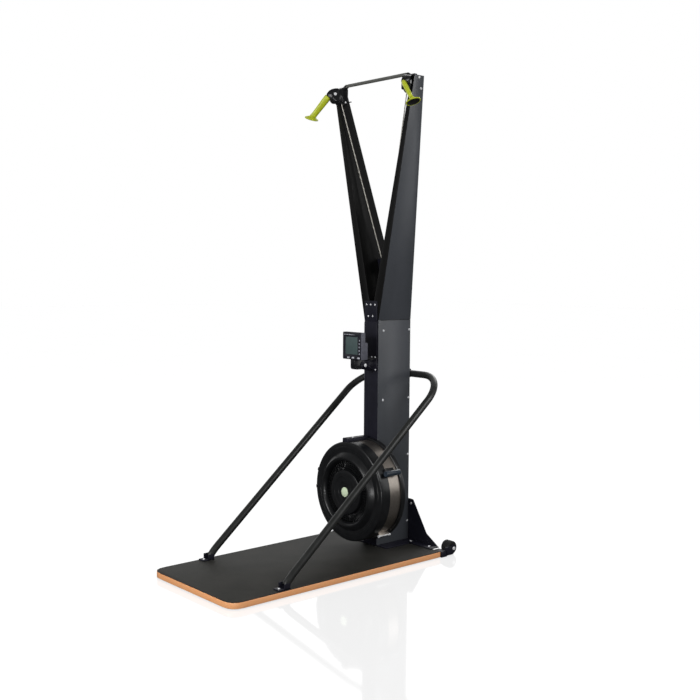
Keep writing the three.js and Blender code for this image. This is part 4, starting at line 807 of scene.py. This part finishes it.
BAR_LEFT, BAR_RIGHT, BAR_BOTTOM = -0.045, -0.005, 0.5195
bar = block((BAR_LEFT, bar_low.y, BAR_BOTTOM), (BAR_RIGHT, bar_high.y, bar_top), 0.0055)
settle(bar, "shell_bracket_finished", "frame", "bar_paint", satin_powder_coat, ["shell_bracket"])
print(f"band {(BAND_REAR - band_front) * 1000:.0f} mm wide")

# %% [markdown]
# ## Clips, band bolt and damper
# Small moulded clips hold the shell to its band, a bolt through the band's ears draws it tight,
# and the damper is a round knob on a slider, with raised rings so that damp fingers can turn it.

# %% Clips and band bolt
CLIP_ANGLES = (162, 183, 241.5)
CLIP_INNER, CLIP_MIDDLE, CLIP_OUTER, CLIP_HALF = 0.2255, 0.2305, 0.2345, 0.0075
CLIP_FRONT, CLIP_REAR = CREST + 0.026, CREST + 0.046
BOLT_CIRCLE = 0.2425
clips = []
for angle in CLIP_ANGLES:
    clip = block((CLIP_INNER, CLIP_FRONT, -CLIP_HALF), (CLIP_OUTER, CLIP_REAR, CLIP_HALF), 0.002)
    clip.data.transform(wheel_turn(angle))
    clips.append(clip)
# Only the lowest clip has a screw.
low_clip = wheel_place(CLIP_MIDDLE, CLIP_ANGLES[-1])
screws("clip_screw", [(low_clip.x, CLIP_FRONT, low_clip.z)], TO_USER, 0.0045)
bpy.data.objects.remove(screw_master)
settle(joined(clips), "shell_clips", "frame", "black_plastic")

bolt = turned([
    (0.006, -0.036), (0.006, -0.03), (0.003, -0.03), (0.003, 0.028), (0.0055, 0.028), (0.0055, 0.034),
], (BOLT_CIRCLE, (band_front + BAND_REAR) / 2, 0), REARWARD, 18)
bolt.data.transform(LUG_TURN)
settle(bolt, "band_bolt", "frame", "steel")
print(f"{len(clips)} clips and a bolt")

# %% Damper
DAMPER_ANGLE, SLIDER_LEAD = 26.6, 3.5
KNOB_CIRCLE, KNOB_RADIUS, RING_RADIUS, RING_STEP, RING_COUNT = 0.25, 0.0128, 0.0136, 0.005, 5
damper_low, damper_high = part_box("air_damper")
knob_middle = wheel_place(KNOB_CIRCLE, DAMPER_ANGLE)
rings = []
for i in range(RING_COUNT):
    y = damper_low.y + RING_STEP + i * RING_STEP
    rings.append(turned([
        (KNOB_RADIUS, y), (RING_RADIUS, y + 0.0006), (RING_RADIUS, y + 0.0018), (KNOB_RADIUS, y + 0.0024),
        (KNOB_RADIUS, y),
    ], knob_middle, REARWARD, 40))
settle(joined(rings), "damper_grip_rings", "damper", "blue_plastic")
knob_length = damper_high.y - damper_low.y
knob = turned([
    (0.0004, 0), (0.011, 0), (0.0126, 0.0016), (KNOB_RADIUS, 0.004), (KNOB_RADIUS, knob_length - 0.006),
    (0.0115, knob_length - 0.0018), (0.0085, knob_length - 0.0002), (0.0004, knob_length),
], (knob_middle.x, damper_low.y, knob_middle.z), REARWARD, 48)
settle(knob, "air_damper_knob", "damper", "blue_plastic", replaced=["air_damper"])
slider = block((0.2283, band_front - 0.012, -0.015), (0.243, band_front + 0.038, 0.013), 0.002)
slider.data.transform(wheel_turn(DAMPER_ANGLE + SLIDER_LEAD))
settle(slider, "air_damper_slider", "damper", "blue_plastic", black_abs, ["air_damper"])
print(f"knob {knob_length * 1000:.0f} mm long")

# %% [markdown]
# ## Handles
# A handle is an oval grip, broad one way and narrow the other, which flares into a cup at its end.
# The cup's floor is a dark disc of painted shade, which stands for the shade inside the hollow, so only a
# thin lime rim shows round it. Cup and disc are turned about the cup's own axis, which hangs more upright
# than the grip.

# %% Handles
HANDLE_TOP = Vector((0.25, 0.352, 2.115))
HANDLE_WAY = Vector((0.672, -0.216, -0.709)).normalized()
CUP_WAY = Vector((0.396, 0.012, -0.918)).normalized()
BROAD_WAY = Vector((-0.702, 0.693, 0.164))
GRIP_BROAD, CUP_ALONG = 1.5, 0.134
cup_middle = HANDLE_TOP + HANDLE_WAY * CUP_ALONG
grip = turned([
    (0.0006, 0), (0.0055, 0.0006), (0.009, 0.0026), (0.0106, 0.006), (0.0107, 0.03), (0.0099, 0.07),
    (0.0093, 0.1), (0.0093, 0.112), (0.0098, 0.12),
], (0, 0, 0), UP, 48)
narrow = HANDLE_WAY.cross(BROAD_WAY).normalized()
broad = narrow.cross(HANDLE_WAY)
grip_turn = Matrix((broad * GRIP_BROAD, narrow, HANDLE_WAY)).transposed().to_4x4()
grip.data.transform(Matrix.Translation(HANDLE_TOP) @ grip_turn)
cup = turned([
    (0.0004, -0.0165), (0.0098, -0.0155), (0.0115, -0.011), (0.016, -0.0075), (0.0235, -0.0045),
    (0.0325, 0.0005), (0.0328, 0.0032), (0.0312, 0.0048), (0.029, 0.0048), (0.0272, 0.0036),
    (0.0213, -0.0015), (0.0092, -0.0039), (0.0004, -0.0039),
], cup_middle, CUP_WAY, 64)
settle_pair(joined([grip, cup]), "handle_{}_finished", "{}_handle", "lime_plastic", node="handle_{}")
# The dark disc on the cup's floor is painted shade in the black rubber finish: it stands for the shade
# inside the hollow cup.
cup_shade = turned([
    (0.0004, -0.0036), (0.0092, -0.0036), (0.0213, -0.0012), (0.0275, 0.0042), (0.0265, 0.005),
    (0.0236, 0.0022), (0.012, -0.0004), (0.0045, -0.0008), (0.0036, 0.0008), (0.0004, 0.0012),
], cup_middle, CUP_WAY, 48)
settle_pair(cup_shade, "handle_pad_{}", "{}_handle", "rubber")
print(f"handles with cups {CUP_ALONG * 1000:.0f} mm down the grip")

# %% [markdown]
# ## Drive cords
# Each cord runs from its handle over the top pulley, down past the guide pulley and to its drum.
# A cord of 5 mm is drawn as a round curve. The short part between pulley and handle is a piece of its own,
# which stands for the cord that pays out as the handle is pulled.

# %% Drive cords
CORD_RADIUS = 0.0025
CORD_ROUTE = [
    (0.2514, 0.3696, 2.1337), (0.2499, 0.3733, 2.1377), (0.2477, 0.3778, 2.1404),
    (0.2449, 0.3826, 2.1416), (0.2419, 0.3873, 2.1413), (0.2388, 0.3917, 2.1394), (0.2358, 0.3952, 2.1361),
    (0.2333, 0.3977, 2.1317), (0.2314, 0.3989, 2.1265), (0.0045, 0.482, 1.3334), (0.0042, 0.482, 1.3323),
    (0.0041, 0.482, 1.3312), (0.004, 0.482, 1.33),
]
CORD_END = Vector((0.2556, 0.3568, 2.1165))
STUB_STEPS = 12
DRUM_X, DRUM_Y = 0.0225, {"right": 0.5, "left": 0.464}


def cord_piece(points):
    """A round cord through points, as a mesh."""
    bpy.ops.object.select_all(action="DESELECT")
    bpy.ops.curve.primitive_nurbs_path_add(location=(0, 0, 0))
    piece = bpy.context.object
    piece.data.splines.clear()
    line = piece.data.splines.new("POLY")
    line.points.add(len(points) - 1)
    for point, place in zip(line.points, points):
        point.co = (*place, 1)
    piece.data.bevel_depth = CORD_RADIUS
    piece.data.bevel_resolution = 3
    piece.data.use_fill_caps = True
    activate(piece)
    bpy.ops.object.convert(target="MESH")
    return bpy.context.object


for side, word in SIDES:
    flip = Vector((side, 1, 1))
    points = [Vector(point) * flip for point in CORD_ROUTE] + [Vector((DRUM_X, DRUM_Y[word], WHEEL.z))]
    node = f"drive_cord_{word}"
    settle(cord_piece(points), f"{node}_finished", "frame", "cord", replaced=[node])
    start, end = points[0], CORD_END * flip
    stub = cord_piece([start.lerp(end, i / STUB_STEPS) for i in range(STUB_STEPS + 1)])
    coat(stub, f"pulled_cord_{word}", braid)
    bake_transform(stub)
    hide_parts(node)
print(f"cords {CORD_RADIUS * 2000:.0f} mm thick")

# %% [markdown]
# ## Transport wheels
# The wheels are solid rubber tyres on a moulded hub. The tread has two shallow grooves, and the
# hub's faces are recessed. A block and an outer cheek carry each axle.

# %% Transport wheels
# The tyre is drawn 10 mm wider than its solid, towards the machine's middle.
WIDER = 0.01
wheel_low, wheel_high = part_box("transport_wheel_right")
wheel_low.x -= WIDER
wheel_middle = (wheel_low + wheel_high) / 2
HALF = (wheel_high.x - wheel_low.x) / 2
tyre = turned(both_ways([
    (0.0175, 0.002 - HALF), (0.019, 0.0005 - HALF), (0.0255, -HALF), (0.0295, 0.0015 - HALF),
    (0.031, 0.005 - HALF), (0.031, -0.006), (0.0298, -0.0055), (0.0298, -0.0045), (0.031, -0.004),
]), wheel_middle, RIGHTWARD, 64)
hub = turned(both_ways([
    (0.0053, 0.001 - HALF), (0.0085, 0.001 - HALF), (0.0095, 0.004 - HALF), (0.0155, 0.004 - HALF),
    (0.0173, 0.002 - HALF),
]), wheel_middle, RIGHTWARD, 48)
settle_pair(tyre, "transport_tyre_{}", "{}_wheel", "rubber", node="transport_wheel_{}")
settle_pair(hub, "transport_hub_{}", "{}_wheel", "rubber", black_abs, "transport_wheel_{}")

HOLDER_EDGE, BLOCK_TOP, CHEEK_LOW, CHEEK_HIGH = 0.0012, 0.028, 0.004, 0.043
holder_low, holder_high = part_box("wheel_bracket_right")
cheek_x = wheel_high.x + 0.0005
outer_x = holder_high.x
boss_place = (cheek_x + 0.0001, wheel_middle.y, wheel_middle.z)
holder = joined([
    block((wheel_low.x, holder_low.y, holder_low.z), (outer_x, wheel_low.y - 0.012, BLOCK_TOP), HOLDER_EDGE),
    block((cheek_x, wheel_low.y - 0.02, CHEEK_LOW), (outer_x, wheel_middle.y, CHEEK_HIGH), HOLDER_EDGE),
    turned(ring(0.0053, 0.0165, 0, 0.0073), boss_place, RIGHTWARD, 40),
])
settle_pair(holder, "wheel_bracket_{}_finished", "frame", "front_paint", node="wheel_bracket_{}")
print(f"wheels {HALF * 2000:.0f} mm wide")

# %% [markdown]
# ## Monitor details
# A thin frame surrounds the display, a pale strip runs above it, a grey cover closes the case's right edge,
# and the tilt knob ends in a metal cap whose brightness is a painted glint. Behind, a battery door breaks up
# the plain back.

# %% Monitor details
front_low, front_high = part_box("monitor_front")
lens_low, lens_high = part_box("monitor_lens")
back_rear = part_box("monitor_back")[1].y
face = front_low.y
THIN_EDGE = 0.0004
strip = block(
    (front_low.x + 0.008, face - 0.0004, front_high.z - 0.0125),
    (front_low.x + 0.078, face + 0.0006, front_high.z - 0.0105), THIN_EDGE,
)
settle(strip, "monitor_strip", "monitor", "button_rubber", key_rubber)

FRAME_WIDTH, FRAME_PROUD, FRAME_SUNK = 0.0022, 0.0008, 0.0004
frame_left, frame_right = lens_low.x - FRAME_WIDTH, lens_high.x + FRAME_WIDTH
frame_bottom, frame_top = lens_low.z - FRAME_WIDTH, lens_high.z + FRAME_WIDTH
frame_bars = [
    block((left, face - FRAME_PROUD, bottom), (right, face + FRAME_SUNK, top), THIN_EDGE)
    for left, right, bottom, top in (
        (frame_left, frame_right, frame_bottom, lens_low.z),
        (frame_left, frame_right, lens_high.z, frame_top),
        (frame_left, lens_low.x, frame_bottom, frame_top),
        (lens_high.x, frame_right, frame_bottom, frame_top),
    )
]
settle(joined(frame_bars), "display_frame", "monitor", "case_plastic")

KNOB_CAP_PLACE = (0.0263, 0.347, 0.875)
knob_cap = turned([
    (0.0008, 0), (0.0076, 0), (0.0076, 0.0012), (0.0066, 0.002), (0.0008, 0.0024),
], KNOB_CAP_PLACE, RIGHTWARD, 32)
settle(knob_cap, "tilt_knob_cap", "frame", "steel")
edge_cover = block(
    (front_high.x - 0.009, face - 0.0006, front_low.z + 0.001),
    (front_high.x + 0.0006, face + 0.018, front_high.z - 0.001), 0.002,
)
settle(edge_cover, "monitor_edge_cover", "monitor", "grey_plastic")
DOOR_HALF, DOOR_BOTTOM, DOOR_TOP = 0.035, 0.912, 0.936
door = block((-DOOR_HALF, back_rear - 0.001, DOOR_BOTTOM), (DOOR_HALF, back_rear + 0.0012, DOOR_TOP), 0.001)
settle(door, "battery_door", "monitor", "grey_plastic")
print(f"display frame of {len(frame_bars)} bars")

# %% [markdown]
# ## Floor
# The machine stands on a white studio floor with a faint polish, so it shows a pale mirror image.
# The camera sees the floor white, but it lights the machine as a grey one would.

# %% Floor
FLOOR_SIZE, FLOOR_DROP = 60, 0.0005
FLOOR_GLOW, GLOW_SHARE, POLISH_SHARE, POLISH_ROUGHNESS = 1.38, 0.72, 0.26, 0.06
floor_finish = new_material("white studio floor", "#F4F4F4", 0.5, Specular_IOR_Level=0.0)
floor_tree = floor_finish.node_tree
pale = mottle(floor_finish, "#F2F2F2", "#F6F6F6", 0.8)
seen_by_camera = add_node(floor_tree, "LightPath").outputs["Is Camera Ray"]
floor_colour = add_node(floor_tree, "MixRGB", Fac=seen_by_camera, Color1=linear("#5C5C5C"), Color2=pale)
to_shader(floor_tree, floor_colour.outputs[0], "Base Color")
floor_glow = add_node(floor_tree, "Emission", Strength=FLOOR_GLOW)
polish = add_node(floor_tree, "BsdfGlossy", Roughness=POLISH_ROUGHNESS)
glow_share, polish_share = (
    add_node(floor_tree, "Math", {"operation": "MULTIPLY"}, _0=seen_by_camera, _1=share).outputs[0]
    for share in (GLOW_SHARE, POLISH_SHARE)
)
floor_mix = add_node(
    floor_tree, "MixShader", Fac=glow_share,
    _1=floor_tree.nodes["Principled BSDF"].outputs[0], _2=floor_glow.outputs[0],
)
floor_top = add_node(
    floor_tree, "MixShader", Fac=polish_share, _1=floor_mix.outputs[0], _2=polish.outputs[0],
)
floor_tree.links.new(floor_top.outputs[0], floor_tree.nodes["Material Output"].inputs["Surface"])
bpy.ops.object.select_all(action="DESELECT")
bpy.ops.mesh.primitive_plane_add(size=FLOOR_SIZE, location=(0, 0, -FLOOR_DROP))
floor = bpy.context.object
floor.name = "studio_floor"
floor.data.materials.append(floor_finish)
print(f"floor {FLOOR_SIZE} m wide")

# %% [markdown]
# ## World and lamps
# The studio is dark but for a white backdrop behind the machine, which its glossy faces mirror.
# The camera sees the world as white. A large soft lamp stands high to the machine's right, and one
# lower beside it is mirrored in the column's side. A small one in front picks out the housing, a
# wide one behind the user lights what faces the user, and one stands behind the machine.

# %% World
WORLD_LIGHT, DARK_SIDE = 0.3, 0.16
BACKDROP_WAY, BACKDROP_START, BACKDROP_FULL = Vector((-0.75, 0.66, 0)), 0.45, 0.85
world = bpy.data.worlds.new("studio")
bpy.context.scene.world = world
world.use_nodes = True
world_tree = world.node_tree
background = world_tree.nodes["Background"]
background.inputs["Color"].default_value = (1, 1, 1, 1)
rays = add_node(world_tree, "LightPath").outputs
seen = add_node(
    world_tree, "Math", {"operation": "MAXIMUM"}, _0=rays["Is Camera Ray"], _1=rays["Is Transmission Ray"],
)
ray_way = add_node(world_tree, "NewGeometry").outputs["Position"]
facing = add_node(world_tree, "VectorMath", {"operation": "DOT_PRODUCT"}, _0=ray_way, _1=BACKDROP_WAY)
studio = add_node(
    world_tree, "MapRange", Value=facing.outputs["Value"],
    From_Min=BACKDROP_START, From_Max=BACKDROP_FULL, To_Min=DARK_SIDE, To_Max=1.0,
)
mirrored_world = add_node(
    world_tree, "MixRGB", Fac=rays["Is Glossy Ray"],
    Color1=(WORLD_LIGHT, WORLD_LIGHT, WORLD_LIGHT, 1), Color2=studio.outputs["Result"],
)
strength = add_node(
    world_tree, "Math", {"operation": "MAXIMUM"}, _0=seen.outputs[0], _1=mirrored_world.outputs[0],
)
world_tree.links.new(strength.outputs[0], background.inputs["Strength"])
print(f"world light {WORLD_LIGHT}")

# %% Lamps
LAMP_AIM = Vector((0, 0.2, 0.9))
# Name, place, width, height and watts.
LAMPS = (
    ("key lamp", (3.6, 1.2, 3.0), 1.6, 1.6, 55),
    ("side lamp", (2.7, 2.6, 1.4), 0.9, 1.8, 10),
    ("front lamp", (2.6, -2.4, 0.3), 0.8, 0.5, 18),
    ("user side lamp", (0.2, -4.2, 2.0), 2.4, 1.6, 100),
    ("back lamp", (-1.5, 3.6, 3.0), 2.0, 2.0, 30),
)
for name, place, width, height, watts in LAMPS:
    bpy.ops.object.light_add(type="AREA", location=place)
    lamp = bpy.context.object
    lamp.name = name
    lamp.data.shape = "RECTANGLE"
    lamp.data.size = width
    lamp.data.size_y = height
    lamp.data.energy = watts
    lamp.visible_camera = False
    lamp.rotation_euler = (LAMP_AIM - Vector(place)).to_track_quat("-Z", "Y").to_euler()
print(f"{len(LAMPS)} lamps")
